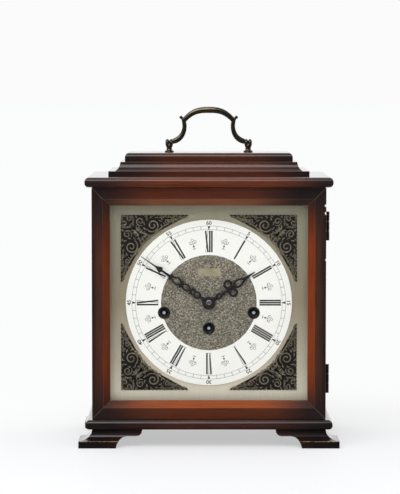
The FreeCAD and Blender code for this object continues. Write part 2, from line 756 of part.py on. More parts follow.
def bead_frame():
    """Four quarter-round beads that hold the glass from behind."""
    back = glass_back + bead_height
    beads = []
    for name, sign in (("left", -1), ("right", 1)):
        outer = sign * rebate_line
        inner = sign * (rebate_line - glass_rebate)
        beads.append(prism(f"bead_{name}", "XY_Plane", rebate_low, rebate_high,
                           [(outer, glass_back), (inner, glass_back)]
                           + quarter((inner, glass_back), (inner, back), (outer, back), 2)))
    for name, outer, sign in (("bottom", rebate_low, -1), ("top", rebate_high, 1)):
        inner = outer - sign * glass_rebate
        span = rebate_line - glass_rebate
        beads.append(prism(f"bead_{name}", "YZ_Plane", -span, span,
                           [(glass_back, outer), (glass_back, inner)]
                           + quarter((glass_back, inner), (back, inner), (back, outer), 2)))
    return group("glazing_beads", *beads)


piece("glazing_beads", bead_frame())

# ---------------------------------------------------------------------------------------------------
# Back door
# ---------------------------------------------------------------------------------------------------
SLOTS = 9
back_half = side_inner + back_rebate - door_gap
slot_low = dial_z - slot_length / 2


def back_door():
    """A thin panel with a row of sound slots."""
    body = prism("back_door", "XZ_Plane", half_depth - back_thickness, half_depth,
                 [(-back_half, door_low), (back_half, door_low),
                  (back_half, door_high), (-back_half, door_high)])
    sketch = new_sketch(body, "first_slot", "XZ_Plane", -half_depth)
    start = -slot_pitch * ((SLOTS - 1) / 2) - slot_width / 2
    draw(sketch, [(start, slot_low), (start + slot_width, slot_low),
                  (start + slot_width, slot_low + slot_length), (start, slot_low + slot_length)])
    doc.recompute()
    pocket = body.newObject("PartDesign::Pocket", "first_slot_cut")
    pocket.Profile = sketch
    pocket.Type = "ThroughAll"
    pocket.Midplane = True
    row = body.newObject("PartDesign::LinearPattern", "slot_row")
    row.Originals = [pocket]
    row.Direction = (sketch, ["H_Axis"])
    bind(row, "Length", slot_pitch * (SLOTS - 1))
    row.Occurrences = SLOTS
    body.Tip = row
    return body




piece("back_door", back_door())
knob_x = -back_half + knob_inset
piece("back_door_knob", lathed("back_door_knob", "Y", knob_x, half_depth, dial_z, [
    (knob_radius * 0.45, 0), (knob_radius * 0.4, knob_length * 0.4), (knob_radius, knob_length * 0.6),
    (knob_radius, knob_length * 0.85), (knob_radius * 0.6, knob_length)]))

# ---------------------------------------------------------------------------------------------------
# Dial
# ---------------------------------------------------------------------------------------------------
WINDING = {
    "time": (as_size(0), dial_z - time_arbor_drop),
    "strike": (-side_arbor_x, dial_z - side_arbor_drop),
    "chime": (side_arbor_x, dial_z - side_arbor_drop),
}
dial_half = side_inner + dial_rebate - door_gap
hour_hole = hour_pipe + 4 * running_gap
dial_blank = block("dial_blank", (-dial_half, dial_front, door_low), (dial_half, dial_back, door_high))
seats = [peg(f"{train}_seat", "Y", x, dial_front - dial_thickness, z, bush_neck, 3 * dial_thickness)
         for train, (x, z) in WINDING.items()]
hour_opening = hole("hour_opening", "Y", 0, dial_front - dial_thickness, dial_z, hour_hole,
                    3 * dial_thickness, ROUND)
piece("dial_plate", cut("dial_plate", dial_blank, hour_opening, *seats))


def dial_layer(name, radius, corners, opening, thickness):
    """A disc or ring on the dial, cut away round the winding-hole bushes."""
    layer = peg(f"{name}_blank", "Y", 0, dial_front - thickness, dial_z, radius, thickness, corners)
    holes = [hole(f"{name}_{train}_hole", "Y", x, dial_front - 2 * thickness, z, bush_radius + bush_play,
                  3 * thickness, ROUND) for train, (x, z) in WINDING.items()]
    return cut(name, layer, opening, *holes)


ring_opening = peg("ring_opening", "Y", 0, dial_front - 2 * ring_thickness, dial_z, ring_bore,
                   3 * ring_thickness, BORE)
piece("chapter_ring", dial_layer("chapter_ring", ring_radius, RING, ring_opening, ring_thickness))
centre_opening = hole("centre_opening", "Y", 0, dial_front - 2 * centre_thickness, dial_z, hour_hole,
                      3 * centre_thickness, ROUND)
piece("dial_centre", dial_layer("dial_centre", ring_bore - running_gap, BORE, centre_opening,
                                centre_thickness))


def winding_bush(name, x, z):
    """A flanged bush pressed into the dial plate."""
    flange = peg(f"{name}_flange", "Y", x, dial_front - bush_flange, z, bush_radius, bush_flange, ROUND)
    neck = peg(f"{name}_neck", "Y", x, dial_front, z, bush_neck, dial_thickness)
    bore = hole(f"{name}_bore", "Y", x, dial_front - 2 * bush_flange, z, bush_hole,
                4 * (bush_flange + dial_thickness))
    return cut(name, joined(f"{name}_blank", flange, neck), bore)


piece("winding_bushes", group("winding_bushes", *[winding_bush(f"{train}_bush", x, z)
                                                  for train, (x, z) in WINDING.items()]))


def flat_plate(corners, depth):
    """A plate with straight edges in the dial's plane, from (x, z) corners."""
    outline = [V(x, 0, z) for x, z in corners]
    return Part.Face(Part.makePolygon(outline + outline[:1])).extrude(V(0, depth, 0))


def regular(x, z, radius, sides):
    """Corners of a regular outline about (x, z)."""
    turns = [2 * math.pi * corner / sides for corner in range(sides)]
    return [(x + radius * math.cos(turn), z + radius * math.sin(turn)) for turn in turns]


SPANDREL_LOBES = 4
SPANDREL_EYES = ((45, 0.28, 1.5), (45, 0.66, 1.1), (35, 0.36, 1.2), (55, 0.36, 1.2))


def spandrel_shape():
    """The upper right corner ornament: leafy edges, and eyes in its scrolls as (bearing, share of room, size)."""
    inner = ring_radius.value + spandrel_gap.value
    tip = spandrel_tip.value
    reach = ring_radius.value + spandrel_margin.value
    lobe = (reach - tip) / SPANDREL_LOBES
    notch = lobe * 0.12
    side = []
    for number in range(SPANDREL_LOBES):
        start = tip + lobe * number
        side += [(reach - notch, start), (reach, start + lobe * 0.25), (reach, start + lobe * 0.8)]
    side[0] = (reach - notch, tip)
    top = [(z, x) for x, z in reversed(side)]
    low = math.atan2(tip, math.sqrt(inner ** 2 - tip ** 2))
    sweep = math.pi / 2 - 2 * low
    hollow = []
    for number in range(2 * SPANDREL_LOBES + 1):
        bearing = math.pi / 2 - low - sweep * number / (2 * SPANDREL_LOBES)
        radius = inner + (notch if number % 2 == 0 else 0)
        hollow.append((radius * math.cos(bearing), radius * math.sin(bearing)))
    plate = flat_plate(side + top + hollow, spandrel_thickness.value)
    for angle, share, scale in SPANDREL_EYES:
        bearing = math.radians(angle)
        outer = reach / max(math.cos(bearing), math.sin(bearing))
        radius = inner + (outer - inner) * share
        eye = regular(radius * math.cos(bearing), radius * math.sin(bearing), spandrel_eye.value * scale, 6)
        plate = plate.cut(flat_plate(eye, spandrel_thickness.value))
    return plate


def corner_spandrels():
    first = solid("spandrel_top_right", spandrel_shape(), 0, dial_front - spandrel_thickness, dial_z)
    second = mirrored("spandrel_top_left", first, V(1, 0, 0))
    lower = []
    for name, source in (("spandrel_bottom_right", first), ("spandrel_bottom_left", second)):
        mirror = mirrored(name, source, V(0, 0, 1))
        bind(mirror, "Base.z", dial_z)
        lower.append(mirror)
    return group("corner_spandrels", first, second, *lower)


piece("corner_spandrels", corner_spandrels())
name_z = dial_z + name_rise
name_front = dial_front - centre_thickness
piece("name_plate", block("name_plate", (-name_width / 2, name_front - name_thickness, name_z - name_height / 2),
                          (name_width / 2, name_front, name_z + name_height / 2)))

# ---------------------------------------------------------------------------------------------------
# Toothed wheels
# ---------------------------------------------------------------------------------------------------
WHEEL_TOOTH = {"addendum": 0.9, "dedendum": 1.5, "tip": 0.16, "root": 0.5}
LEAF = {"addendum": 0.6, "dedendum": 1.6, "tip": 0.2, "root": 0.3}


def toothed(name, teeth, module, form, phase, x, y, z, thickness):
    """A toothed disc in the XZ plane that runs back from y; phase is the bearing of one tooth, in degrees."""
    pitch = 2 * math.pi / teeth
    root = (teeth / 2 - form["dedendum"]) * module
    tip = (teeth / 2 + form["addendum"]) * module
    corners = []
    for number in range(teeth):
        bearing = math.radians(phase) + number * pitch
        steps = [(root, -form["root"]), (tip, -form["tip"] / 2), (tip, form["tip"] / 2)]
        if form["root"] < 0.5:
            steps.append((root, form["root"]))
        for radius, share in steps:
            angle = bearing + share * pitch
            corners.append((radius * math.cos(angle), radius * math.sin(angle)))
    return solid(name, flat_plate(corners, thickness.value), x, y, z)


def bearing_between(first, second):
    """Bearing in degrees from one arbor to another, and their distance."""
    run = second[0].value - first[0].value
    rise = second[1].value - first[1].value
    return math.degrees(math.atan2(rise, run)), math.hypot(run, rise)


def meshed(first, first_teeth, first_phase, second, second_teeth):
    """Module and phase that put the second wheel in mesh with the first."""
    bearing, distance = bearing_between(first, second)
    module = 2 * distance / (first_teeth + second_teeth)
    lead = first_phase - bearing
    phase = bearing + 180 - lead * first_teeth / second_teeth + 180 / second_teeth
    return module, phase


GREAT_TEETH = 36
SECOND_LEAVES = 6
SECOND_TEETH = 36
CENTRE_LEAVES = 6
CENTRE_TEETH = 48
THIRD_LEAVES = 6
THIRD_TEETH = 45
ESCAPE_LEAVES = 6
ESCAPE_TEETH = 15
CANNON_TEETH = 6
MINUTE_TEETH = 18
MINUTE_LEAVES = 6
HOUR_TEETH = 24
RATCHET_TEETH = 12

centre_at = (as_size(0), dial_z)
second_at = (second_x, dial_z - second_drop)
third_at = (-third_x, dial_z + third_rise)
escape_at = (-third_x, dial_z + third_rise + escape_step)
pallet_at = (-third_x, dial_z + third_rise + escape_step + pallet_step)
balance_at = (-third_x, dial_z + third_rise + escape_step + pallet_step + balance_step)

# Levels of the wheels, front to back.
great_level = train_y + 2 * wheel_air
drum_level = great_level + great_thickness
barrel_back = drum_level + barrel_length
second_level = barrel_back + wheel_air + pinion_overlap
centre_level = second_level + wheel_thickness + wheel_air
third_level = drum_level + barrel_length / 2 + 2 * wheel_air
escape_level = third_level - 2 * (wheel_air + pinion_overlap)


def stepped(name, at, steps, sides=TINY):
    """A stepped shaft along Y, from its (start, radius) steps and its end."""
    x, z = at
    return [peg(f"{name}_{number}", "Y", x, start, z, radius, steps[number + 1][0] - start, sides)
            for number, (start, radius) in enumerate(steps[:-1])]


def staff(name, at):
    """A wheel's arbor with a thin pivot in each plate."""
    return stepped(name, at, [(front_plate_y, pivot_radius), (train_y + end_shake, staff_radius),
                              (back_plate_y - end_shake, pivot_radius), (works_back, None)])


def train_arbor(name, at, *wheels):
    """A staff with its wheel and pinion made fast on it."""
    return piece(name, joined(name, *staff(f"{name}_staff", at), *wheels))


def pinion(name, leaves, module, phase, at, level, thickness):
    """A pinion that reaches past both faces of the rim that drives it."""
    return toothed(name, leaves, module, LEAF, phase, at[0], level - pinion_overlap, at[1],
                   thickness + 2 * pinion_overlap)


# Barrels with their great wheels, winding arbors with their ratchets, and clicks.
great_module, second_phase = meshed(WINDING["time"], GREAT_TEETH, 90, second_at, SECOND_LEAVES)
ratchet_level = front_plate_y - end_shake - wheel_thickness
square_front = dial_front - bush_flange + key_recess
square_back = front_plate_y - square_foot
CLICK_BEARINGS = {"time": -60, "strike": 200, "chime": -20}


def barrel(train, x, z):
    """A mainspring barrel with a great wheel on its front edge and a bore for the winding arbor."""
    great = toothed(f"{train}_great_wheel", GREAT_TEETH, great_module, WHEEL_TOOTH, 90, x, great_level, z,
                    great_thickness)
    drum = peg(f"{train}_drum", "Y", x, drum_level, z, barrel_radius, barrel_length, DRUM)
    bore = hole(f"{train}_bore", "Y", x, train_y, z, arbor_radius + running_gap, plate_gap)
    return cut(f"{train}_barrel", joined(f"{train}_barrel_blank", great, drum), bore)


def winding_arbor(train, x, z):
    """A winding arbor: key square in front, ratchet wheel, pivots in both plates and a thick middle."""
    half = key_square / 2
    square = block(f"{train}_square", (x - half, square_front, z - half), (x + half, square_back, z + half))
    steps = [(square_back, arbor_pivot), (train_y + end_shake, arbor_radius),
             (back_plate_y - end_shake, arbor_pivot), (works_back, None)]
    shaft = stepped(f"{train}_shaft", (x, z), steps, SMALL)
    ratchet = solid(f"{train}_ratchet", ratchet_shape(), x, ratchet_level, z)
    return joined(f"{train}_arbor", square, *shaft, ratchet)


def ratchet_shape():
    """A saw-toothed disc, whose steep flanks stop it from turning back."""
    pitch = 2 * math.pi / RATCHET_TEETH
    outer = ratchet_radius.value
    inner = outer - ratchet_depth.value
    corners = [(radius * math.cos(number * pitch), radius * math.sin(number * pitch))
               for number in range(RATCHET_TEETH) for radius in (inner, outer)]
    return flat_plate(corners, wheel_thickness.value)


def click_at(train):
    """Place of a click's screw, beside its winding arbor."""
    x, z = WINDING[train]
    bearing = math.radians(CLICK_BEARINGS[train])
    return x + click_reach * math.cos(bearing), z + click_reach * math.sin(bearing)


def click(train):
    """A click that pivots on a shouldered screw and stands just clear of its ratchet wheel."""
    nose = ratchet_radius.value + click_gap.value - click_reach.value
    hub = click_hub.value
    bore = (click_screw.value + running_gap.value) / math.cos(math.pi / TINY)
    arm = flat_plate([(-hub * 0.64, hub * 0.78), (nose, hub * 0.4), (nose, -hub * 0.1),
                      (-hub * 0.64, -hub * 0.78)], wheel_thickness.value)
    shape = arm.fuse(flat_plate(regular(0, 0, hub, ROUND), wheel_thickness.value)).removeSplitter()
    shape = shape.cut(flat_plate(regular(0, 0, bore, TINY), wheel_thickness.value))
    screw_x, screw_z = click_at(train)
    return solid(f"{train}_click", shape, screw_x, ratchet_level, screw_z, about_y(-CLICK_BEARINGS[train]))


for train, (x, z) in WINDING.items():
    piece(f"{train}_barrel", barrel(train, x, z))
    piece(f"{train}_arbor", winding_arbor(train, x, z))
    piece(f"{train}_click", click(train))

# Going train: second wheel, centre wheel, third wheel and escape wheel.
centre_module, centre_phase = meshed(second_at, SECOND_TEETH, second_phase, centre_at, CENTRE_LEAVES)
third_module, third_phase = meshed(centre_at, CENTRE_TEETH, centre_phase, third_at, THIRD_LEAVES)
escape_module, escape_phase = meshed(third_at, THIRD_TEETH, third_phase, escape_at, ESCAPE_LEAVES)

train_arbor("second_wheel", second_at,
            pinion("second_pinion", SECOND_LEAVES, great_module, second_phase, second_at, great_level,
                   great_thickness),
            toothed("second_rim", SECOND_TEETH, centre_module, WHEEL_TOOTH, second_phase,
                    second_at[0], second_level, second_at[1], wheel_thickness))
train_arbor("third_wheel", third_at,
            pinion("third_pinion", THIRD_LEAVES, third_module, third_phase, third_at, centre_level,
                   wheel_thickness),
            toothed("third_rim", THIRD_TEETH, escape_module, WHEEL_TOOTH, third_phase,
                    third_at[0], third_level, third_at[1], wheel_thickness))


def escape_rim():
    """An escape wheel with raked teeth."""
    pitch = 2 * math.pi / ESCAPE_TEETH
    outer = escape_radius.value
    inner = outer * 0.72
    corners = []
    for number in range(ESCAPE_TEETH):
        for radius, share in ((inner, 0), (outer, 0.55), (inner, 0.65)):
            angle = (number + share) * pitch
            corners.append((radius * math.cos(angle), radius * math.sin(angle)))
    return flat_plate(corners, wheel_thickness.value)


train_arbor("escape_wheel", escape_at,
            pinion("escape_pinion", ESCAPE_LEAVES, escape_module, escape_phase, escape_at, third_level,
                   wheel_thickness),
            solid("escape_rim", escape_rim(), escape_at[0], escape_level, escape_at[1]))

# Centre arbor: it carries the centre wheel, and in front of the plate the cannon pinion and minute hand.
hour_front = dial_front - ring_thickness - hand_gap - hand_thickness
minute_front = hour_front - hand_gap - hand_thickness


def centre_wheel():
    rim = toothed("centre_rim", CENTRE_TEETH, third_module, WHEEL_TOOTH, centre_phase,
                  centre_at[0], centre_level, centre_at[1], wheel_thickness)
    leaves = pinion("centre_pinion", CENTRE_LEAVES, centre_module, centre_phase, centre_at, second_level,
                    wheel_thickness)
    shaft = stepped("centre_shaft", centre_at, [(minute_front, centre_pivot), (train_y + end_shake, centre_staff),
                                                (back_plate_y - end_shake, pivot_radius), (works_back, None)])
    return joined("centre_wheel", rim, leaves, *shaft)


piece("centre_wheel", centre_wheel())

# Motion work between the dial and the front plate.
minute_at = (minute_wheel_x, dial_z + minute_wheel_rise)
motion_bearing, _ = bearing_between(centre_at, minute_at)
cannon_module, minute_phase = meshed(centre_at, CANNON_TEETH, motion_bearing, minute_at, MINUTE_TEETH)
hour_module, hour_phase = meshed(minute_at, MINUTE_LEAVES, minute_phase, centre_at, HOUR_TEETH)
cannon_level = front_plate_y - end_shake - wheel_thickness
hour_level = cannon_level - wheel_thickness - 2 * pinion_overlap


def cannon_pinion():
    """Pinion and pipe on the front of the centre arbor, which carry the minute hand."""
    teeth = toothed("cannon_teeth", CANNON_TEETH, cannon_module, LEAF, motion_bearing,
                    0, cannon_level, dial_z, wheel_thickness)
    pipe_front = minute_front + hand_thickness
    pipe = peg("cannon_pipe", "Y", 0, pipe_front, dial_z, cannon_radius, cannon_level - pipe_front)
    bore = peg("cannon_bore", "Y", 0, minute_front, dial_z, centre_pivot, 4 * motion_gap, TINY)
    return cut("cannon_pinion", joined("cannon_blank", teeth, pipe), bore)


piece("cannon_pinion", cannon_pinion())


def minute_wheel():
    """Wheel and pinion that turn on a stud of the front plate."""
    x, z = minute_at
    wheel = toothed("minute_rim", MINUTE_TEETH, cannon_module, WHEEL_TOOTH, minute_phase,
                    x, cannon_level, z, wheel_thickness)
    leaves = toothed("minute_pinion", MINUTE_LEAVES, hour_module, LEAF, minute_phase,
                     x, hour_level - pinion_overlap, z, cannon_level - hour_level + pinion_overlap)
    bore = hole("minute_bore", "Y", x, dial_back, z, stud_radius + running_gap, motion_gap, TINY)
    return cut("minute_wheel", joined("minute_blank", wheel, leaves), bore)


piece("minute_wheel", minute_wheel())


def hour_wheel():
    """Wheel on a pipe that turns round the cannon pipe and carries the hour hand."""
    wheel = toothed("hour_rim", HOUR_TEETH, hour_module, WHEEL_TOOTH, hour_phase,
                    0, hour_level, dial_z, wheel_thickness)
    pipe_front = hour_front + hand_thickness
    pipe = peg("hour_pipe", "Y", 0, pipe_front, dial_z, hour_pipe, hour_level - pipe_front)
    bore = hole("hour_bore", "Y", 0, minute_front, dial_z, cannon_radius + running_gap, 4 * motion_gap)
    return cut("hour_wheel", joined("hour_blank", wheel, pipe), bore)


piece("hour_wheel", hour_wheel())

# ---------------------------------------------------------------------------------------------------
# Hands
# ---------------------------------------------------------------------------------------------------
MINUTES_SHOWN = 50.75
HOURS_SHOWN = 1 + MINUTES_SHOWN / 60


def spine(stations):
    """Outline of a blade along the hand, from its (distance, half width) stations."""
    return [(-half, along) for along, half in stations] + [(half, along) for along, half in reversed(stations)]


def hand(name, front, clockwise, boss, bore, blade, loops, opening):
    """A pierced hand: boss, blade, loops as (distance, offset, radius) and one opening in the blade."""
    depth = hand_thickness.value
    shape = flat_plate(regular(0, 0, boss.value, ROUND), depth).fuse(
        [flat_plate(spine(blade), depth)]
        + [flat_plate(regular(side, along, radius, SMALL), depth) for along, side, radius in loops])
    eyes = [flat_plate(regular(side, along, radius * 0.58, 6), depth) for along, side, radius in loops]
    shaft = flat_plate(regular(0, 0, bore.value / math.cos(math.pi / SMALL), SMALL), depth)
    shape = shape.removeSplitter().cut(eyes + [shaft, flat_plate(spine(opening), depth)])
    return solid(name, shape, 0, front, dial_z, about_y(clockwise))


def minute_hand():
    slim = needle.value
    ring = loop_radius.value
    pair = minute_second.value
    end = minute_shoulder.value
    arrow = minute_arrow.value
    half_arrow = arrow_length.value / 2
    blade = [(0, 2.6 * slim), (pair, 2.2 * slim), (end - ring, 2 * slim), (end - ring / 2, 4.4 * slim),
             (end, 1.6 * slim), (arrow - half_arrow, slim), (arrow, 3 * slim), (arrow + half_arrow, 0.8 * slim),
             (minute_length.value, 0.4 * slim)]
    loops = [(minute_first.value, 0, ring), (pair, -0.75 * ring, 0.85 * ring), (pair, 0.75 * ring, 0.85 * ring),
             (minute_third.value, 0, 1.25 * ring)]
    neck = minute_boss.value
    opening = [(neck + ring / 2, slim), (minute_first.value - 1.4 * ring, 1.4 * slim)]
    return hand("minute_hand", minute_front, MINUTES_SHOWN * 6, minute_boss, centre_pivot, blade, loops, opening)


def hour_hand():
    slim = needle.value
    ring = loop_radius.value
    wide = hour_loop_radius.value
    spread = hour_spread.value
    leaf = hour_leaf.value
    blade = [(0, 4 * slim), (hour_eye.value, 3 * slim), (hour_loop.value, 2 * slim), (leaf - wide, 3 * slim),
             (leaf, 6 * slim), (leaf + wide, 3.4 * slim), (leaf + 2.4 * wide, 1.4 * slim),
             (hour_length.value, 0.5 * slim)]
    loops = [(hour_eye.value, 0, ring), (hour_loop.value, -spread, wide), (hour_loop.value, spread, wide)]
    opening = [(leaf - wide / 2, 1.2 * slim), (leaf, 3.6 * slim), (leaf + wide, 1.2 * slim)]
    return hand("hour_hand", hour_front, HOURS_SHOWN * 30, hour_boss, cannon_radius + running_gap, blade, loops,
                opening)


piece("minute_hand", minute_hand())
piece("hour_hand", hour_hand())
piece("hand_nut", lathed("hand_nut", "Y", 0, minute_front - hand_nut_height, dial_z, [
    (hand_nut_radius * 0.55, 0), (hand_nut_radius * 0.9, hand_nut_height * 0.35),
    (hand_nut_radius, hand_nut_height * 0.65), (hand_nut_radius, hand_nut_height)]))

# ---------------------------------------------------------------------------------------------------
# Movement plates, pillars and dial feet
# ---------------------------------------------------------------------------------------------------
def plate(name, start, pivots):
    """A brass movement plate with holes for the winding arbors and, as (place, radius), for the pivots."""
    blank = block(f"{name}_blank", (-plate_half, start, dial_z - plate_below),
                  (plate_half, start + plate_thickness, dial_z + plate_above))
    holes = [(at, arbor_pivot, SMALL) for at in WINDING.values()] + [(*pivot, TINY) for pivot in pivots]
    bores = [hole(f"{name}_bore_{number}", "Y", x, start - plate_thickness, z, radius + running_gap,
                  3 * plate_thickness, sides) for number, ((x, z), radius, sides) in enumerate(holes)]
    return cut(name, blank, group(f"{name}_bores", *bores))


staff_pivots = [(at, pivot_radius) for at in (second_at, third_at, escape_at, pallet_at)]


def front_plate():
    """The plate behind the dial, with the minute wheel's stud and the three click screws."""
    blank = plate("front_plate_bored", front_plate_y, staff_pivots + [(centre_at, centre_pivot)])
    stud_x, stud_z = minute_at
    stud_front = hour_level - 2 * pinion_overlap
    studs = [peg("minute_stud", "Y", stud_x, stud_front, stud_z, stud_radius, front_plate_y - stud_front, TINY)]
    for train in WINDING:
        x, z = click_at(train)
        head_front = ratchet_level - running_gap - click_screw / 2
        studs.append(peg(f"{train}_click_screw", "Y", x, head_front, z, click_screw, front_plate_y - head_front,
                         TINY))
        studs.append(peg(f"{train}_click_screw_head", "Y", x, head_front, z, click_screw * 1.7, click_screw / 2))
    return joined("front_plate", blank, *studs)


piece("front_plate", front_plate())
piece("back_plate", plate("back_plate", back_plate_y, staff_pivots + [(centre_at, pivot_radius),
                                                                      (balance_at, pivot_radius)]))

PILLARS = [(sign_x * (plate_half - pillar_inset), z)
           for sign_x in (-1, 1)
           for z in (dial_z - plate_below + pillar_inset, dial_z + plate_above - pillar_inset)]


def pillar(number, x, z):
    """A pillar between the plates, with a nut behind the back plate."""
    return [peg(f"pillar_{number}", "Y", x, train_y, z, pillar_radius, plate_gap),
            peg(f"pillar_nut_{number}", "Y", x, works_back, z, pillar_nut, nut_height, TINY)]


piece("plate_pillars", group("plate_pillars", *[thing for number, (x, z) in enumerate(PILLARS)
                                                for thing in pillar(number, x, z)]))
feet = [peg(f"dial_foot_{number}", "Y", x, dial_back, z, dial_foot, motion_gap, TINY)
        for number, (x, z) in enumerate(PILLARS)]
piece("dial_feet", group("dial_feet", *feet))

# ---------------------------------------------------------------------------------------------------
# Escapement
# ---------------------------------------------------------------------------------------------------
fork_level = works_back + wheel_air
balance_level = fork_level + 2 * wheel_air
bridge_level = balance_level + wheel_thickness + 2.6 * wheel_air
bridge_back = bridge_level + wheel_thickness


def pallet_lever():
    """Pallet arbor with two pallets over the escape wheel, and a lever behind the back plate."""
    x, z = pallet_at
    tail = peg("pallet_tail", "Y", x, works_back, z, pivot_radius, fork_level + pivot_radius - works_back,
               TINY)
    span = pallet_span.value
    drop = pallet_drop.value
    bar = wheel_thickness.value * 0.7
    anchor = flat_plate([(-span, -drop - 2 * bar), (-span, -drop), (0, 1.8 * bar), (span, -drop),
                         (span, -drop - 2 * bar), (span - bar, -drop - 2 * bar), (span - bar, -drop - 0.8 * bar),
                         (0, -1.4 * bar), (bar - span, -drop - 0.8 * bar), (bar - span, -drop - 2 * bar)],
                        wheel_thickness.value)
    pallets = solid("pallet_anchor", anchor, x, escape_level, z)
    length = balance_step.value - 2.6 * bar
    fork = flat_plate([(-0.9 * bar, -1.6 * bar), (0.9 * bar, -1.6 * bar), (0.6 * bar, length - 1.6 * bar),
                       (1.6 * bar, length), (0.8 * bar, length), (0, length - bar), (-0.8 * bar, length),
                       (-1.6 * bar, length), (-0.6 * bar, length - 1.6 * bar)], bar)
    lever = solid("pallet_fork", fork, x, fork_level, z)
    return joined("pallet_lever", *staff("pallet_staff", pallet_at), tail, pallets, lever)


piece("pallet_lever", pallet_lever())


def balance_wheel():
    """Balance: a rim on two arms, and a staff between the back plate and the bridge."""
    x, z = balance_at
    inside = balance_radius - balance_rim
    half_arm = balance_rim / 2
    disc = peg("balance_disc", "Y", x, balance_level, z, balance_radius, wheel_thickness, DRUM)
    opening = peg("balance_opening", "Y", x, balance_level - wheel_thickness, z, inside, 3 * wheel_thickness,
                  DRUM)
    arm = block("balance_arm", (x - inside, balance_level, z - half_arm),
                (x + inside, balance_level + wheel_thickness, z + half_arm))
    shaft = peg("balance_staff", "Y", x, back_plate_y, z, pivot_radius, bridge_back - back_plate_y, TINY)
    return joined("balance_wheel", cut("balance_rim", disc, opening), arm, shaft)


piece("balance_wheel", balance_wheel())


def balance_bridge():
    """A bridge over the balance, on two posts that stand on the back plate."""
    x, z = balance_at
    reach = balance_radius + bridge_reach
    half_bar = dial_foot
    bar = block("bridge_bar", (x - reach - half_bar, bridge_level, z - half_bar),
                (x + reach + half_bar, bridge_back, z + half_bar))
    posts = [peg(f"bridge_post_{number}", "Y", x + sign * reach, works_back, z, dial_foot,
                 bridge_level - works_back, TINY) for number, sign in enumerate((-1, 1))]
    bore = hole("bridge_hole", "Y", x, bridge_level - wheel_thickness, z, pivot_radius + running_gap,
                3 * wheel_thickness, TINY)
    return cut("balance_bridge", joined("bridge_blank", bar, *posts), bore)


piece("balance_bridge", balance_bridge())

# ---------------------------------------------------------------------------------------------------
# Chime: four hammers on a spindle behind the back plate, and four upright rods in a block on the plinth
# ---------------------------------------------------------------------------------------------------
HAMMERS = 4
hammer_z = dial_z - plate_below - hammer_drop
hammer_y = works_back + hammer_stand
head_z = hammer_z - hammer_length
rod_y = hammer_y + head_length / 2 + rod_gap + rod_radius
hammer_xs = [chime_x + hammer_pitch * (number - (HAMMERS - 1) / 2) for number in range(HAMMERS)]


def hammer(number, x):
    """A hammer on the spindle: hub, wire and head, standing clear of its rod."""
    name = f"chime_hammer_{number + 1}"
    hub = peg(f"{name}_hub", "X", x - hammer_hub, hammer_y, hammer_z, hammer_hub, 2 * hammer_hub)
    wire = peg(f"{name}_wire", "Z", x, hammer_y, head_z, spindle_radius * 0.75, hammer_length, TINY)
    head = peg(f"{name}_head", "Y", x, hammer_y - head_length / 2, head_z, hammer_head, head_length)
    bore = hole(f"{name}_bore", "X", x - 2 * hammer_hub, hammer_y, hammer_z, spindle_radius + running_gap,
                4 * hammer_hub, TINY)
    return cut(name, joined(f"{name}_blank", hub, wire, head), bore)


for number, x in enumerate(hammer_xs):
    piece(f"chime_hammer_{number + 1}", hammer(number, x))


def hammer_spindle():
    """The hammers' spindle, in two brackets on the back plate."""
    start = hammer_xs[0] - hammer_pitch
    end = hammer_xs[-1] + hammer_pitch
    parts = [peg("spindle_rod", "X", start, hammer_y, hammer_z, spindle_radius, end - start, TINY)]
    for side, x in (("left", start), ("right", end - plate_thickness)):
        parts.append(block(f"spindle_bracket_{side}", (x, works_back, hammer_z - 2 * spindle_radius),
                           (x + plate_thickness, hammer_y + 2 * spindle_radius, hammer_z + 3 * hammer_drop)))
    return joined("hammer_spindle", *parts)


piece("hammer_spindle", hammer_spindle())
rod_foot = plinth_top + rod_block_height
piece("rod_block", block("rod_block",
                         (hammer_xs[0] - hammer_pitch, rod_y - rod_block_height / 2, plinth_top),
                         (hammer_xs[-1] + hammer_pitch, rod_y + rod_block_height / 2, rod_foot)))
piece("chime_rods", group("chime_rods", *[
    peg(f"chime_rod_{number + 1}", "Z", x, rod_y, rod_foot, rod_radius, rod_length - rod_step * number, TINY)
    for number, x in enumerate(hammer_xs)]))

# ---------------------------------------------------------------------------------------------------
# Carrying handle
# ---------------------------------------------------------------------------------------------------
pivot_z = cap_top + post_rise
bail_inner = post_x - post_head
LOBE_STEPS = ((-1, 0.5), (-0.72, 0.9), (-0.36, 1), (0, 0.74), (0.36, 1), (0.72, 0.9), (1, 0.5))


def handle_post(name, sign):
    """A turned post: foot, neck and a head of two lobes side by side, bored from inside for the handle."""
    x = sign * post_x
    foot = lathed(f"{name}_foot", "Z", x, 0, cap_top, [
        (post_flange, 0), (post_flange, post_flange * 0.25), (post_neck, post_flange * 0.6),
        (post_neck, post_rise)])
    head = lathed(f"{name}_head", "X", x, 0, pivot_z,
                  [(lobe_radius * width, post_head * along) for along, width in LOBE_STEPS])
    depth = bail_bite + end_shake
    start = bail_inner if sign > 0 else -bail_inner - depth
    bore = hole(f"{name}_bore", "X", start, 0, pivot_z, bail_pin + running_gap, depth)
    return cut(name, joined(f"{name}_blank", foot, head), bore)


piece("handle_posts", group("handle_posts", handle_post("post_left", -1), handle_post("post_right", 1)))

BAIL_SIDES = 8
ARM_WIDTHS = ((0, 1.3), (0.16, 1.22), (0.32, 1.1), (0.48, 1), (0.62, 1), (0.75, 0.95), (0.86, 0.62))
ARCH_RINGS = 9
ARCH_SHARE = 0.59
ARCH_START = 8


def ring_at(x, z, run, rise, radius):
    """A ring of the handle about (x, z), square to the direction (run, rise)."""
    length = math.hypot(run, rise)
    across = V(-rise / length, 0, run / length)
    corners = [V(x, 0, z) + across * (radius * math.cos(2 * math.pi * corner / BAIL_SIDES))
               + V(0, radius * math.sin(2 * math.pi * corner / BAIL_SIDES), 0) for corner in range(BAIL_SIDES)]
    return corners


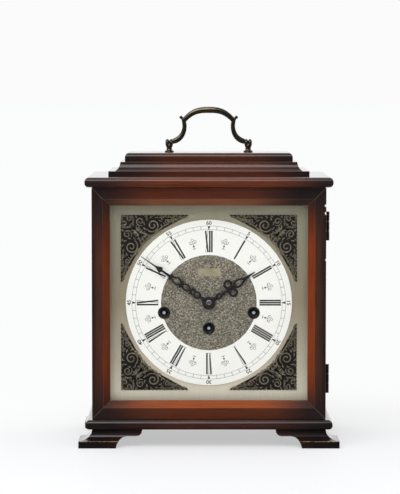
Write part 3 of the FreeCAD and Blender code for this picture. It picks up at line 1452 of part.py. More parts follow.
def bail_arm():
    """The right arm: it leaves the post, narrows, rises to the waist and flares into an ear with a ball."""
    inner = bail_inner.value - bail_shake.value
    waist = bail_waist.value
    rise = bail_rise.value
    lean = inner - waist
    flare = ear_flare.value
    path = Part.BSplineCurve()
    points = [(inner, 0.02), (waist + lean * 0.35, 0.17), (waist + flare * 0.1, 0.36), (waist, 0.5),
              (waist + flare * 0.25, 0.67), (waist + flare, 0.77)]
    path.interpolate([V(x, 0, rise * share) for x, share in points])
    ball = ear_radius.value / arm_radius.value
    rings = []
    for share, width in ARM_WIDTHS + ((0.93, ball), (1, ball * 0.5)):
        spot = path.parameterAtDistance(path.length() * share, path.FirstParameter)
        point = path.value(spot)
        along = path.tangent(spot)[0]
        rings.append(ring_at(point.x, point.z, along.x, along.z, arm_radius.value * width))
    return skin(rings)


def bail_arch():
    """The grip: half an ellipse from arm to arm that swells in the middle."""
    middle = bail_rise.value * ARCH_SHARE
    height = bail_rise.value - middle
    span = bail_waist.value + ear_flare.value * 0.2
    rings = []
    for step in range(ARCH_RINGS):
        share = step / (ARCH_RINGS - 1)
        angle = math.radians(ARCH_START + (180 - 2 * ARCH_START) * share)
        swell = math.sin(math.pi * share)
        radius = arm_radius.value + (grip_radius.value - arm_radius.value) * swell
        rings.append(ring_at(span * math.cos(angle), middle + height * math.sin(angle),
                             -span * math.sin(angle), height * math.cos(angle), radius))
    return skin(rings)


def handle_bail():
    """The swinging handle: a grip between two S-shaped arms with flared ears, and a pivot on each arm."""
    half = solid("bail_arm_right", bail_arm(), 0, 0, pivot_z)
    grip = solid("bail_grip", bail_arch(), 0, 0, pivot_z)
    pin = rod("bail_pin_right", "X", bail_inner - 2 * end_shake, 0, pivot_z, bail_pin, bail_bite + 2 * end_shake)
    right = joined("bail_right", half, pin)
    return joined("handle_bail", grip, right, mirrored("bail_left", right, V(1, 0, 0)))


piece("handle_bail", handle_bail())

# ---------------------------------------------------------------------------------------------------
# Check and write
# ---------------------------------------------------------------------------------------------------
doc.recompute()
for thing in doc.Objects:
    if "Invalid" in thing.State or "Error" in thing.State:
        raise RuntimeError(f"{thing.Name} failed: {thing.State}")
for thing in pieces:
    if thing.Shape.isNull() or not thing.Shape.isValid():
        raise RuntimeError(f"{thing.Label} has no valid shape")

os.makedirs("parts", exist_ok=True)
for thing in pieces:
    thing.Shape.exportStep(os.path.join("parts", f"{thing.Label}.step"))
    box = thing.Shape.BoundBox
    print(f"{thing.Label:26s} {len(thing.Shape.Solids)} solids  {thing.Shape.Volume:10.1f} mm3  "
          f"x {box.XMin:.1f}..{box.XMax:.1f}  y {box.YMin:.1f}..{box.YMax:.1f}  z {box.ZMin:.1f}..{box.ZMax:.1f}")
print(len(pieces), "sub-parts")
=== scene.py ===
# %% [markdown]
# # A bracket clock, dressed for its portrait
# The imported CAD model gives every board, hinge, wheel and joint in its true place. This lesson gives those
# solids the finishes of the real clock and replaces the few whose real forms are too fine for CAD, such as
# the cast corner ornaments, the pierced hands and the swinging handle. All lengths are metres, so a length
# in millimetres is multiplied by MM.

# %% Load the frame
import math
import random

import bmesh
import bpy
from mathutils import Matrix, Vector


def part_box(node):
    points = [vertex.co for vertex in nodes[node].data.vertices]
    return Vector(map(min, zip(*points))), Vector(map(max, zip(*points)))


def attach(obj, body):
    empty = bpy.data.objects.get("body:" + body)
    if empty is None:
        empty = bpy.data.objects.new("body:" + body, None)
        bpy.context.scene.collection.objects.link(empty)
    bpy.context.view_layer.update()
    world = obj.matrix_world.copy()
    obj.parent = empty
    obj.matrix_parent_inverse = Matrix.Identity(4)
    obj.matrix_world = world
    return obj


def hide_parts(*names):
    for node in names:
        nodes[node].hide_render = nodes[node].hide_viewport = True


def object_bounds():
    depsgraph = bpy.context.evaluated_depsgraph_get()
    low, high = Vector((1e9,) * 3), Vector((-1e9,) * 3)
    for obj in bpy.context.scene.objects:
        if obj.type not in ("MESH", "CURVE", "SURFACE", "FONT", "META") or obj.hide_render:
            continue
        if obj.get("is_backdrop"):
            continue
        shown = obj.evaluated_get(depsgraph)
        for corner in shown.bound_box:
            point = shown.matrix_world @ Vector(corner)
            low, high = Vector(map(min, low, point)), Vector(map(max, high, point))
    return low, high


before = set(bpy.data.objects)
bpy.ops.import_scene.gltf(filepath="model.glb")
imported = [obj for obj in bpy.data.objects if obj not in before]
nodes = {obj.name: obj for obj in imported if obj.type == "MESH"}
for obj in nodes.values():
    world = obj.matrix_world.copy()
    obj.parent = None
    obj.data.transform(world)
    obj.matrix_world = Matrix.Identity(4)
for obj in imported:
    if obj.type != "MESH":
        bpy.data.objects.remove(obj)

MM = 0.001
cad_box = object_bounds()
print("CAD nodes:", len(nodes), "size in mm:", [round(v / MM, 1) for v in cad_box[1] - cad_box[0]])

# %% [markdown]
# ## Places on the clock
# The pieces made here stand on CAD nodes, so their places are read from those nodes' boxes, and nothing has
# to be fitted by eye. The dial's middle is the middle of the chapter ring.

# %% Read the dial's middle and its layers
ring_low, ring_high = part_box("chapter_ring")
DIAL_Z = (ring_low.z + ring_high.z) / 2
RING_FRONT = ring_low.y
RING_RADIUS = (ring_high.x - ring_low.x) / 2
SPANDREL_LOW, SPANDREL_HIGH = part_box("corner_spandrels")
print("dial middle is", round(DIAL_Z / MM, 1), "mm up, ring radius", round(RING_RADIUS / MM, 1))

# %% [markdown]
# ## Colours and nodes
# A colour is written as the sRGB hex value that an eye or a paint card gives, and one function turns it
# into the linear numbers that Blender's sockets take. Another adds a shader node with its settings and
# links, and short ones name the nodes that come back most, so that a material below reads as a list of what
# it does.

# %% Turn an sRGB hex value into linear numbers
def linear(code):
    """The linear RGBA of an sRGB hex colour."""
    parts = [int(code[place:place + 2], 16) / 255 for place in (1, 3, 5)]
    return tuple(c / 12.92 if c <= 0.04045 else ((c + 0.055) / 1.055) ** 2.4 for c in parts) + (1.0,)


print("mid grey is", [round(c, 3) for c in linear("#808080")])


# %% Add one shader node with its settings and links
def plug(tree, node, values):
    """Gives each named socket of a node a number, a hex colour or another node's output."""
    for socket, value in values.items():
        if isinstance(value, bpy.types.NodeSocket):
            tree.links.new(value, node.inputs[socket])
        else:
            node.inputs[socket].default_value = linear(value) if isinstance(value, str) else value


def add(tree, kind, inputs=None, stops=(), **settings):
    """A new node with its settings and inputs. stops are the places and hex colours of a colour ramp."""
    made = tree.nodes.new(kind)
    for name, value in settings.items():
        setattr(made, name, value)
    plug(tree, made, inputs or {})
    if stops:
        ends = made.color_ramp.elements[0], made.color_ramp.elements[1]
        for end, (place, colour) in zip(ends, (stops[0], stops[-1])):
            end.position, end.color = place, linear(colour)
        for place, colour in stops[1:-1]:
            made.color_ramp.elements.new(place).color = linear(colour)
    return made


# %% The nodes that come back most, each as its output
# A Mix node set to colours has its factor, colours and result at these sockets.
FACTOR, FIRST, SECOND, RESULT = 0, 6, 7, 2


def mix(tree, factor, first, second):
    """A colour between two others."""
    return add(tree, "ShaderNodeMix", {FACTOR: factor, FIRST: first, SECOND: second},
               data_type="RGBA").outputs[RESULT]


def maths(tree, operation, *values, **settings):
    """One operation on numbers."""
    return add(tree, "ShaderNodeMath", dict(enumerate(values)), operation=operation, **settings).outputs[0]


def vectors(tree, operation, first, second):
    """A number worked out from two vectors."""
    return add(tree, "ShaderNodeVectorMath", {0: first, 1: second}, operation=operation).outputs["Value"]


def scaled(tree, colour, factor):
    """A colour made lighter or darker."""
    return add(tree, "ShaderNodeVectorMath", {0: colour, "Scale": factor}, operation="SCALE").outputs[0]


def remap(tree, value, low, high, to_low=0.0, to_high=1.0, kind="LINEAR"):
    """A number read between two limits and spread between two others."""
    return add(tree, "ShaderNodeMapRange", {0: value, 1: low, 2: high, 3: to_low, 4: to_high},
               interpolation_type=kind).outputs[0]


def split(tree, vector):
    """The three parts of a vector."""
    return add(tree, "ShaderNodeSeparateXYZ", {0: vector}).outputs


def noise(tree, where, scale=1.0, detail=2.0, distortion=0.0):
    """Cloudy noise, with a number of clouds to the metre."""
    return add(tree, "ShaderNodeTexNoise", {"Vector": where, "Scale": scale, "Detail": detail,
                                            "Distortion": distortion}).outputs[0]


def stretched(tree, place, sizes):
    """The place on the clock, counted in steps of three sizes in mm, so that noise runs in lines."""
    scale = [1 / (v * MM) for v in sizes]
    return add(tree, "ShaderNodeMapping", {"Vector": place, "Scale": scale}).outputs[0]


def bump(tree, height, strength, distance, **inputs):
    """The normal of a surface that rises with height, by a distance in mm."""
    return add(tree, "ShaderNodeBump", {"Height": height, "Strength": strength, "Distance": distance * MM,
                                        **inputs}).outputs[0]


# %% Start a material, and put one on
def new_finish(name):
    """An empty finish: its material, its node tree, its Principled shader and its place on the clock."""
    made = bpy.data.materials.new(name)
    made.use_nodes = True
    tree = made.node_tree
    place = add(tree, "ShaderNodeTexCoord").outputs["Object"]
    return made, tree, tree.nodes["Principled BSDF"], place


def dress(names, finish):
    """Puts a finish on CAD nodes."""
    for name in names:
        for seat in nodes[name].material_slots:
            seat.material = finish


# %% [markdown]
# ## Lacquered mahogany
# The case is stained mahogany under a glossy lacquer. Its colour is shaded along each board, so a rail is
# orange-red in its middle and nearly black at its ends, and a stile darkens towards its outer edge. The
# door's bevel round the glass is painted lighter, and each bevel has its own tone by the way it faces the
# light, as painted light and shade. The arrises are painted pale, partly as wear and partly as a painted
# highlight. An image of wood would repeat and can't follow the boards, so the grain here is noise stretched
# along each board, and the shading is measured from the board's own middle in object coordinates.

# %% Lacquered mahogany
DOOR_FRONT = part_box("door_stile_right")[0].y


def lacquered_mahogany(name, along, middle, fade, tones, edge=None, bevel=None, marks=(), line=None):
    """Shaded lacquer over mahogany. Lengths are in mm.

    along is the grain's axis (0, 1 or 2), middle and fade give where along it the shading starts and ends,
    tones are the hex colours of the middle and the ends, edge darkens |x| between two places, bevel gives the
    painted light and shade of the faces that slope towards the glass, as colours of the middle and the ends,
    marks are chipped spots and line is a pale broken line along an edge (height, depth), partly wear and
    partly a painted highlight."""
    made, tree, shader, place = new_finish(name)
    spot = split(tree, place)
    away = maths(tree, "ABSOLUTE", maths(tree, "SUBTRACT", spot[along], middle * MM))
    ends = remap(tree, away, fade[0] * MM, fade[1] * MM, kind="SMOOTHSTEP")
    if edge:
        rim = remap(tree, maths(tree, "ABSOLUTE", spot[0]), edge[0] * MM, edge[1] * MM, kind="SMOOTHSTEP")
        ends = maths(tree, "MAXIMUM", ends, rim)
    cloud = noise(tree, place, 28)
    drift = maths(tree, "MULTIPLY_ADD", cloud, 0.34, -0.17)
    shade = maths(tree, "ADD", ends, drift, use_clamp=True)
    colour = mix(tree, shade, *tones)
    # The bevel colours are painted light and shade: each bevel gets its own tone by the way it faces the
    # light.
    if bevel:
        facing = split(tree, add(tree, "ShaderNodeTexCoord").outputs["Normal"])[1]
        slope = maths(tree, "COMPARE", facing, -0.75, 0.16)
        colour = mix(tree, slope, colour, mix(tree, shade, *bevel))
    # Mahogany's vessels are about 0.2 mm wide and 5 mm long. They are drawn 1 mm wide, or they wouldn't show.
    grain_size = [1.0, 1.0, 1.0]
    grain_size[along] = 30
    grain = noise(tree, stretched(tree, place, grain_size), 1.0, 3, 0.4)
    colour = scaled(tree, colour, remap(tree, grain, 0.35, 0.65, 0.8, 1.2))
    # The arris is where a rounded normal leaves the true one; there the colour is painted pale, partly as
    # wear of the lacquer and partly as a painted highlight.
    rounded = add(tree, "ShaderNodeBevel", {"Radius": 0.7 * MM}, samples=6).outputs[0]
    true = add(tree, "ShaderNodeNewGeometry").outputs["Normal"]
    arris_wear_and_highlight = remap(tree, vectors(tree, "DOT_PRODUCT", rounded, true), 0.99, 0.86, 0, 0.45)
    colour = mix(tree, arris_wear_and_highlight, colour, "#A8876C")
    ragged = noise(tree, place, 1 / (1.6 * MM))
    for x, z, size in marks:
        gap = vectors(tree, "DISTANCE", place, (x * MM, DOOR_FRONT, z * MM))
        rough_gap = maths(tree, "MULTIPLY_ADD", ragged, 1.2 * MM, gap)
        chip = remap(tree, rough_gap, (size + 0.9) * MM, (size + 0.5) * MM)
        colour = mix(tree, chip, colour, "#EADFD0")
    # line paints a pale broken line along the feet's top edge: partly wear and partly a painted highlight.
    if line:
        height = maths(tree, "COMPARE", spot[2], line[0] * MM, 0.45 * MM)
        front = maths(tree, "COMPARE", spot[1], line[1] * MM, 0.9 * MM)
        both = maths(tree, "MULTIPLY", height, front)
        edge_wear_and_highlight = maths(tree, "MULTIPLY", both, maths(tree, "GREATER_THAN", ragged, 0.5))
        colour = mix(tree, edge_wear_and_highlight, colour, "#B08A55")
    plug(tree, shader, {
        "Base Color": colour, "Roughness": remap(tree, cloud, 0.3, 0.7, 0.3, 0.42),
        "Normal": bump(tree, grain, 0.12, 0.1, Normal=rounded), "IOR": 1.5, "Specular IOR Level": 0.25,
        "Coat Weight": 1.0, "Coat Roughness": 0.08})
    return made


# %% [markdown]
# ## The boards' finishes
# Every board gets its own shading, laid along the board. A rail is shaded by its distance from the clock's
# middle plane, a stile by its distance from the middle of its height and towards its outer edge.

# %% Finish the wooden boards
NEAR_BLACK, DEEP, RED_BROWN, RUSSET = "#231A19", "#281A17", "#4A2014", "#5A2A16"
STILE_FACE, STILE_ENDS = "#482619", "#241A19"
wooden = {
    "door_rail_top": dict(along=0, middle=-8, fade=(38, 92), tones=("#562410", "#221919"),
                          bevel=("#774830", "#33241F")),
    "door_rail_bottom": dict(along=0, middle=0, fade=(46, 96), tones=("#582711", "#261B19"),
                             bevel=("#92430F", "#33231F")),
    "door_stile_left": dict(along=2, middle=124, fade=(50, 102), tones=(STILE_FACE, STILE_ENDS),
                            edge=(99, 105), bevel=("#68290C", "#2A1C19")),
    "door_stile_right": dict(along=2, middle=124, fade=(50, 102), tones=(STILE_FACE, STILE_ENDS),
                             edge=(97, 104.5), bevel=("#7E320C", "#2C1D19"),
                             marks=((105, 217.2, 1.2), (105.2, 210.1, 1.4), (105.2, 168.4, 0.9))),
    "cornice_board": dict(along=0, middle=4, fade=(46, 106), tones=("#612B12", "#281C1B")),
    "top_moulding": dict(along=0, middle=6, fade=(30, 86), tones=("#56281A", "#241919")),
    "cap_block": dict(along=0, middle=0, fade=(28, 74), tones=("#4E2414", "#241919")),
    "base_plinth": dict(along=0, middle=8, fade=(30, 104), tones=("#40211A", "#1C1516")),
    "bracket_feet": dict(along=0, middle=0, fade=(62, 104), tones=("#2C1A15", "#181113"),
                         line=(6.4, -78)),
    "side_board_left": dict(along=2, middle=128, fade=(40, 104), tones=(RED_BROWN, NEAR_BLACK)),
    "side_board_right": dict(along=2, middle=128, fade=(40, 104), tones=(RED_BROWN, NEAR_BLACK)),
    "back_door": dict(along=2, middle=128, fade=(60, 130), tones=(RUSSET, DEEP)),
}
for board, how in wooden.items():
    dress([board], lacquered_mahogany("lacquered_mahogany_" + board, **how))
print("lacquered boards:", len(wooden))


# %% [markdown]
# ## Metals
# The clock has many metals, but they differ in few things: the colour of the clean metal and of its
# tarnish, how large and how strong the mottling is, how rough the surface is, and whether the tool left
# lines. One function takes these. Brushing is noise stretched along the lines. Casting is coarse noise with
# bump.

# %% Metals
def metal(name, clean, tarnish, rough=(0.25, 0.4), patch=6.0, lines=None, coarse=0.1, metallic=1.0):
    """A metal with tarnish in patches (size in mm), and tool lines if given as three sizes in mm. coarse is
    the strength of its bump."""
    made, tree, shader, place = new_finish(name)
    blotch = noise(tree, place, 1 / (patch * MM), 3)
    tool = noise(tree, stretched(tree, place, lines)) if lines else noise(tree, place, 1 / (1.2 * MM))
    plug(tree, shader, {
        "Base Color": mix(tree, remap(tree, blotch, 0.4, 0.6), clean, tarnish),
        "Roughness": remap(tree, tool, 0.3, 0.7, *rough),
        "Normal": bump(tree, tool, coarse, 0.1), "Metallic": metallic})
    return made


# Lacquered clock brass, rolled and polished: warm and even, with faint rolling lines.
works_brass = metal("lacquered_works_brass", "#D9B566", "#B8924A", (0.2, 0.34), 9, lines=(12, 12, 0.4))
# Polished carbon steel: cool grey, almost a mirror, with fine turning marks.
bright_steel = metal("polished_steel", "#CFCFCD", "#A9A9A6", (0.14, 0.26), 5, lines=(0.3, 6, 0.3))
# Stamped hinge brass sprayed over with the case's dark lacquer: brown-black with a dull metal gleam.
hinge_brass = metal("lacquered_over_hinge_brass", "#34261F", "#241B18", (0.3, 0.46), 4, lines=(6, 6, 0.5),
                    metallic=0.4)
# The rear door's turned knob keeps its satin brass.
knob_brass = metal("satin_knob_brass", "#A98F52", "#7C6534", (0.3, 0.46), 4)
# Cast iron under thin black paint: coarse from the sand mould.
painted_iron = metal("painted_cast_iron", "#242426", "#303032", (0.5, 0.65), 3, coarse=0.5, metallic=0.0)
# Steel blacked in hot oil: satin black with a brown cast.
black_steel = metal("oil_blacked_steel", "#151314", "#221E1E", (0.42, 0.55), 3, metallic=0.15)
# Black enamel on the grommets round the winding holes: glossy, with a little orange peel.
black_enamel = metal("black_enamel", "#0C0C0E", "#151416", (0.25, 0.35), 2, metallic=0.0)
# Gilt brass of the bare name plate: pale gold and softly brushed.
gilt_brass = metal("gilt_name_plate", "#A8A280", "#969070", (0.4, 0.5), 6, lines=(4, 4, 0.3), metallic=0.2)
print("metals made:", len([m for m in bpy.data.materials if m.use_nodes]))

# %% Put the metals on the movement and fittings
metal_of = {
    works_brass: ["front_plate", "back_plate", "plate_pillars", "time_barrel", "strike_barrel",
                  "chime_barrel", "second_wheel", "centre_wheel", "third_wheel", "escape_wheel",
                  "cannon_pinion", "minute_wheel", "hour_wheel", "balance_wheel", "balance_bridge"],
    bright_steel: ["time_arbor", "strike_arbor", "chime_arbor", "time_click", "strike_click",
                   "chime_click", "pallet_lever", "hammer_spindle", "chime_rods", "dial_feet"],
    hinge_brass: ["front_hinge_case_leaves", "back_hinge_case_leaves", "front_hinge_door_leaves",
                  "back_hinge_door_leaves"],
    knob_brass: ["back_door_knob"],
    painted_iron: ["rod_block"],
    gilt_brass: ["name_plate"],
}
metal_of[works_brass] += [name for name in nodes if name.startswith("chime_hammer")]
for finish, names in metal_of.items():
    dress(names, finish)
print("movement nodes finished:", sum(map(len, metal_of.values())))

# %% [markdown]
# ## The dial
# The dial plate is rolled brass with a satin, faintly brushed face under cold lacquer. It stands behind the
# door's top rail, and its colour is painted greyer towards the top as painted shade and brighter towards the
# bottom as painted light from the floor, with a thin band of painted shade along its bottom edge.
# The chapter ring is silvered, which looks almost white. The centre is matted: hammered all over with a
# fine punch, so every dent has a bright and a dark side.

# %% Satin dial plate
PLATE_LOW, PLATE_TOP = 37, 221
made, tree, shader, place = new_finish("satin_dial_brass")
rise = remap(tree, split(tree, place)[2], PLATE_LOW * MM, PLATE_TOP * MM)
# The ramp is painted light and shade: painted shade along the bottom edge, a painted bright band just above
# it, and painted shade greying the plate upwards.
tone = add(tree, "ShaderNodeValToRGB", {0: rise}, stops=[
    (0.0, "#BDB5A0"), (0.06, "#DED6C2"), (0.2, "#C2B9A3"), (0.5, "#988B74"), (0.8, "#969079"),
    (1.0, "#9A967D")])
hair = noise(tree, stretched(tree, place, (0.7, 1, 60)))
plug(tree, shader, {
    "Base Color": scaled(tree, tone.outputs[0], remap(tree, hair, 0.3, 0.7, 0.94, 1.06)),
    "Normal": bump(tree, hair, 0.08, 0.05), "Metallic": 0.1, "Roughness": 0.5})
dress(["dial_plate"], made)
print("finished", made.name)

# %% Silvered chapter ring
made, tree, shader, place = new_finish("silvered_ring")
haze = noise(tree, place, 1 / (9 * MM), 4)
grit = noise(tree, place, 1 / (0.5 * MM))
plug(tree, shader, {
    "Base Color": mix(tree, haze, "#FBFBF5", "#F5F5EC"), "Roughness": remap(tree, grit, 0, 1, 0.42, 0.55),
    "Normal": bump(tree, grit, 0.05, 0.05), "Metallic": 0.05})
dress(["chapter_ring"], made)
print("finished", made.name)

# %% Matted dial centre
made, tree, shader, place = new_finish("matted_dial_centre")
# The punch marks are about 0.5 mm. They are drawn 0.8 mm apart, which is just under a pixel.
dents = add(tree, "ShaderNodeTexVoronoi", {"Vector": place, "Scale": 1 / (0.8 * MM)}).outputs
tone = add(tree, "ShaderNodeValToRGB", {0: split(tree, dents["Color"])[0]}, stops=[
    (0.0, "#4A463B"), (0.35, "#6C6758"), (0.7, "#8A8472"), (1.0, "#B9B3A2")])
plug(tree, shader, {
    "Base Color": tone.outputs[0], "Normal": bump(tree, dents["Distance"], 0.6, 0.1), "Metallic": 0.2,
    "Roughness": 0.5})
dress(["dial_centre"], made)
print("finished", made.name)

# %% [markdown]
# ## The door's glass
# Float glass this thin is clear. Real refraction would stop the lamp's light from reaching the dial, which a
# path tracer is slow to bring back, so shadow and diffuse rays pass straight through.

# %% Door glass and its beads
made, tree, shader, place = new_finish("float_glass")
smear = noise(tree, place, 1 / (40 * MM))
plug(tree, shader, {
    "Base Color": mix(tree, smear, "#FFFFFF", "#FDFEFE"), "Roughness": remap(tree, smear, 0, 1, 0, 0.02),
    "Transmission Weight": 1.0, "IOR": 1.45})
ray = add(tree, "ShaderNodeLightPath").outputs
passing = maths(tree, "MAXIMUM", ray["Is Shadow Ray"], ray["Is Diffuse Ray"])
through = add(tree, "ShaderNodeBsdfTransparent", {0: "#FFFFFF"}).outputs[0]
either = add(tree, "ShaderNodeMixShader", {0: passing, 1: shader.outputs[0], 2: through}).outputs[0]
plug(tree, tree.nodes["Material Output"], {"Surface": either})
dress(["door_glass"], made)
dress(["glazing_beads"], nodes["door_rail_bottom"].material_slots[0].material)
print("finished", made.name)


# %% [markdown]
# ## Making shapes
# A few helpers make every shape below. They work in the clock's front plane, where x is across and z is up.
# A curve goes through a few chosen points, a bar is swept along it, a slab is a flat outline with thickness
# and a turning is a profile spun about an axis. They add to one mesh, which becomes a piece at the end.

# %% A smooth curve through a few points
def through_points(points, steps=6):
    """Points along a smooth curve through the given ones, after Catmull and Rom's rule."""
    given = [Vector(p) for p in points]
    padded = [given[0] * 2 - given[1]] + given + [given[-1] * 2 - given[-2]]
    run = []
    for a, b, c, d in zip(padded, padded[1:], padded[2:], padded[3:]):
        for step in range(steps):
            t = step / steps
            run.append(0.5 * ((2 * b) + (c - a) * t + (2 * a - 5 * b + 4 * c - d) * t * t
                              + (3 * b - a - 3 * c + d) * t ** 3))
    return run + [given[-1]]


# %% A circle, and faces between loops of vertices
def circle(sides):
    """Points (cosine, sine) evenly spaced round a circle of radius 1."""
    return [(math.cos(math.tau * k / sides), math.sin(math.tau * k / sides)) for k in range(sides)]


def bridge(mesh, rings):
    """Joins each loop of vertices to the next with four-sided faces."""
    for one, two in zip(rings, rings[1:]):
        for k in range(len(one)):
            m = (k + 1) % len(one)
            mesh.faces.new((one[k], one[m], two[m], two[k]))


# %% A bar swept along a curve in the front plane
FLAT_SECTION = ((1, 0.55), (0.86, 1), (-0.86, 1), (-1, 0.55), (-1, -0.55), (-0.86, -1), (0.86, -1),
                (1, -0.55))
OVAL_SHARE = 0.95


def sweep(mesh, path, widths, section, thick=None, closed=False):
    """Sweeps a section along (x, y, z) points. widths are half-widths spread evenly over the path. thick is
    the half-thickness in y; without it, the bar is an oval that is nearly as thick as it is wide."""
    last = len(path) - 1
    rings = []
    for number, point in enumerate(path):
        before = path[number - 1] if number or closed else path[0]
        after = path[(number + 1) % len(path)] if number < last or closed else path[last]
        along = (after - before).normalized()
        across = along.cross(Vector((0, 1, 0))).normalized()
        share = number / last * (len(widths) - 1)
        low = min(int(share), len(widths) - 2) if len(widths) > 1 else 0
        high = min(low + 1, len(widths) - 1)
        half = widths[low] + (widths[high] - widths[low]) * (share - low)
        half_thick = thick or half * OVAL_SHARE
        rings.append([mesh.verts.new(point + across * (half * wide) + Vector((0, half_thick * deep, 0)))
                      for wide, deep in section])
    bridge(mesh, rings + rings[:1] if closed else rings)
    if not closed:
        mesh.faces.new(rings[0])
        mesh.faces.new(rings[-1][::-1])


# %% A flat outline with thickness, and a flat ring
def slab(mesh, outline, front, back):
    """Closes an outline of (x, z) points between two depths."""
    near, far = [[mesh.verts.new((x, depth, z)) for x, z in outline] for depth in (front, back)]
    mesh.faces.new(near)
    mesh.faces.new(far[::-1])
    bridge(mesh, (far, near))


def flat_ring(mesh, middle, inner, outer, front, back, sides=180):
    """A flat ring about a middle (x, z)."""
    loops = [[mesh.verts.new((middle[0] + radius * c, depth, middle[1] + radius * s))
              for c, s in circle(sides)]
             for radius, depth in ((inner, front), (outer, front), (outer, back), (inner, back))]
    bridge(mesh, loops + loops[:1])


# %% A turning, and a ball's profile
def spin(mesh, axis, base, profile, sides=40):
    """The loops of vertices of (radius, distance along the axis) points spun about an axis through base."""
    along = Vector([1.0 if k == axis else 0.0 for k in range(3)])
    one = Vector((0, 0, 1)) if axis != 2 else Vector((1, 0, 0))
    two = along.cross(one)
    return [[mesh.verts.new(Vector(base) + along * far + (one * c + two * s) * radius)
             for c, s in circle(sides)] for radius, far in profile]


def turning(mesh, axis, base, profile, sides=40):
    """A spun profile with its two ends capped."""
    rings = spin(mesh, axis, base, profile, sides)
    bridge(mesh, rings)
    mesh.faces.new(rings[0][::-1])
    mesh.faces.new(rings[-1])


def ball(radius, half, flat, steps):
    """The profile of a ball, with its radius and half-length in mm and its tips cut off by a share."""
    return [(radius * math.sin(math.pi * (flat + (1 - 2 * flat) * k / steps)) * MM,
             (half - half * math.cos(math.pi * k / steps)) * MM) for k in range(steps + 1)]


# %% Make a piece of the clock from a mesh
def make_piece(name, mesh, finish, body, instead=(), smooth=True):
    """Turns the mesh into a piece that rides on a body and stands for the CAD nodes named in instead."""
    bmesh.ops.recalc_face_normals(mesh, faces=mesh.faces)
    shape = bpy.data.meshes.new(name)
    mesh.to_mesh(shape)
    mesh.free()
    for face in shape.polygons:
        face.use_smooth = smooth
    if smooth:
        shape.set_sharp_from_angle(angle=math.radians(48))
    piece = bpy.data.objects.new(name, shape)
    bpy.context.scene.collection.objects.link(piece)
    shape.materials.append(finish)
    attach(piece, body)
    if instead:
        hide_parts(*instead)
    print(name, "has", len(shape.polygons), "faces")
    return piece


def fuse(piece, voxel, rounds):
    """Melts overlapping shells into one cast skin: a voxel remesh, then a few rounds of smoothing."""
    cast = piece.modifiers.new("cast", "REMESH")
    cast.mode, cast.voxel_size = "VOXEL", voxel
    relax = piece.modifiers.new("relax", "SMOOTH")
    relax.iterations, relax.factor = rounds, 0.5
    bpy.context.view_layer.update()
    state = piece.evaluated_get(bpy.context.evaluated_depsgraph_get())
    cast_mesh = bpy.data.meshes.new_from_object(state)
    piece.modifiers.clear()
    old, piece.data = piece.data, cast_mesh
    bpy.data.meshes.remove(old)
    for face in piece.data.polygons:
        face.use_smooth = True
    print(piece.name, "is one skin of", len(piece.data.polygons), "faces")


# %% [markdown]
# ## The carrying handle
# The bail and its posts are cast brass under a dark bronze patina. Hands have worn the middle of the grip to
# olive-gold. A bail like this is modelled by sweeping a bar along its S-shaped arms and its arch, adding the
# ears' balls, and melting the parts together, as the casting is one piece of metal.

# %% Patinated brass of the handle
aged_brass, tree, shader, place = new_finish("patinated_cast_brass")
spot = split(tree, place)
mottle = noise(tree, place, 1 / (3.5 * MM), 4)
patina = mix(tree, mottle, "#57534A", "#7D796C")
away = maths(tree, "ABSOLUTE", maths(tree, "ADD", spot[0], 5 * MM))
palm = remap(tree, away, 7 * MM, 15 * MM, 1, 0, "SMOOTHSTEP")
held = maths(tree, "MULTIPLY", palm, remap(tree, spot[2], 296 * MM, 300 * MM))
thin = maths(tree, "MULTIPLY", held, mottle)
plug(tree, shader, {
    "Base Color": mix(tree, thin, patina, "#958C6C"), "Normal": bump(tree, mottle, 0.15, 0.2),
    "Metallic": 0.95, "Roughness": 0.27})
print("finished", aged_brass.name)

# %% Handle posts
POST_X, POST_FOOT, PIVOT_Z = 36.3, 263.3, 271.6
LOBE_APART, LOBE_RADIUS, LOBE_HALF = 1.75, 3.55, 1.9
mesh = bmesh.new()
for side in (-1, 1):
    base = (side * POST_X * MM, 0, POST_FOOT * MM)
    turning(mesh, 2, base, [(r * MM, h * MM) for r, h in (
        (4.25, 0), (4.3, 0.5), (4.1, 1.0), (3.0, 1.5), (2.65, 2.2), (2.5, 3.2), (2.6, 4.2), (3.1, 5.0),
        (3.0, 6.0), (2.4, 7.5), (1.0, 8.3))])
    for lobe in (-1, 1):
        turning(mesh, 0, ((side * POST_X + lobe * LOBE_APART - LOBE_HALF) * MM, 0, PIVOT_Z * MM),
                ball(LOBE_RADIUS, LOBE_HALF, 0.06, 12))
posts = make_piece("posts", mesh, aged_brass, "case", ["handle_posts"])
fuse(posts, 0.22 * MM, 2)

# %% Swinging handle
ARM = [(35.4, 0.0), (33.2, 1.0), (30.6, 2.0), (28.0, 3.4), (25.4, 5.8), (23.3, 9.6), (22.3, 14.0),
       (22.5, 18.0), (23.3, 21.0), (24.9, 23.0)]
ARM_WIDTHS = [1.3, 2.2, 2.6, 2.6, 2.45, 2.25, 2.1, 2.05, 1.8, 1.1]
ARCH = [(23.2, 18.6), (21.9, 21.4), (17.8, 25.3), (13.0, 28.2), (7.2, 29.8), (0.0, 30.2)]
ARCH_WIDTHS = [1.7, 2.25, 2.5, 2.7, 2.85, 2.95]
EAR_X, EAR_Z, EAR_BALL = 25.5, 23.4, 1.55
mesh = bmesh.new()
for side in (-1, 1):
    line = through_points([(side * x * MM, 0, (PIVOT_Z + z) * MM) for x, z in ARM], 5)
    sweep(mesh, line, [w * MM for w in ARM_WIDTHS], circle(20))
    turning(mesh, 1, (side * EAR_X * MM, -EAR_BALL * MM, (PIVOT_Z + EAR_Z) * MM),
            ball(EAR_BALL, EAR_BALL, 0.07, 10), 20)
arch = ARCH + [(-x, z) for x, z in reversed(ARCH[:-1])]
line = through_points([(x * MM, 0, (PIVOT_Z + z) * MM) for x, z in arch], 5)
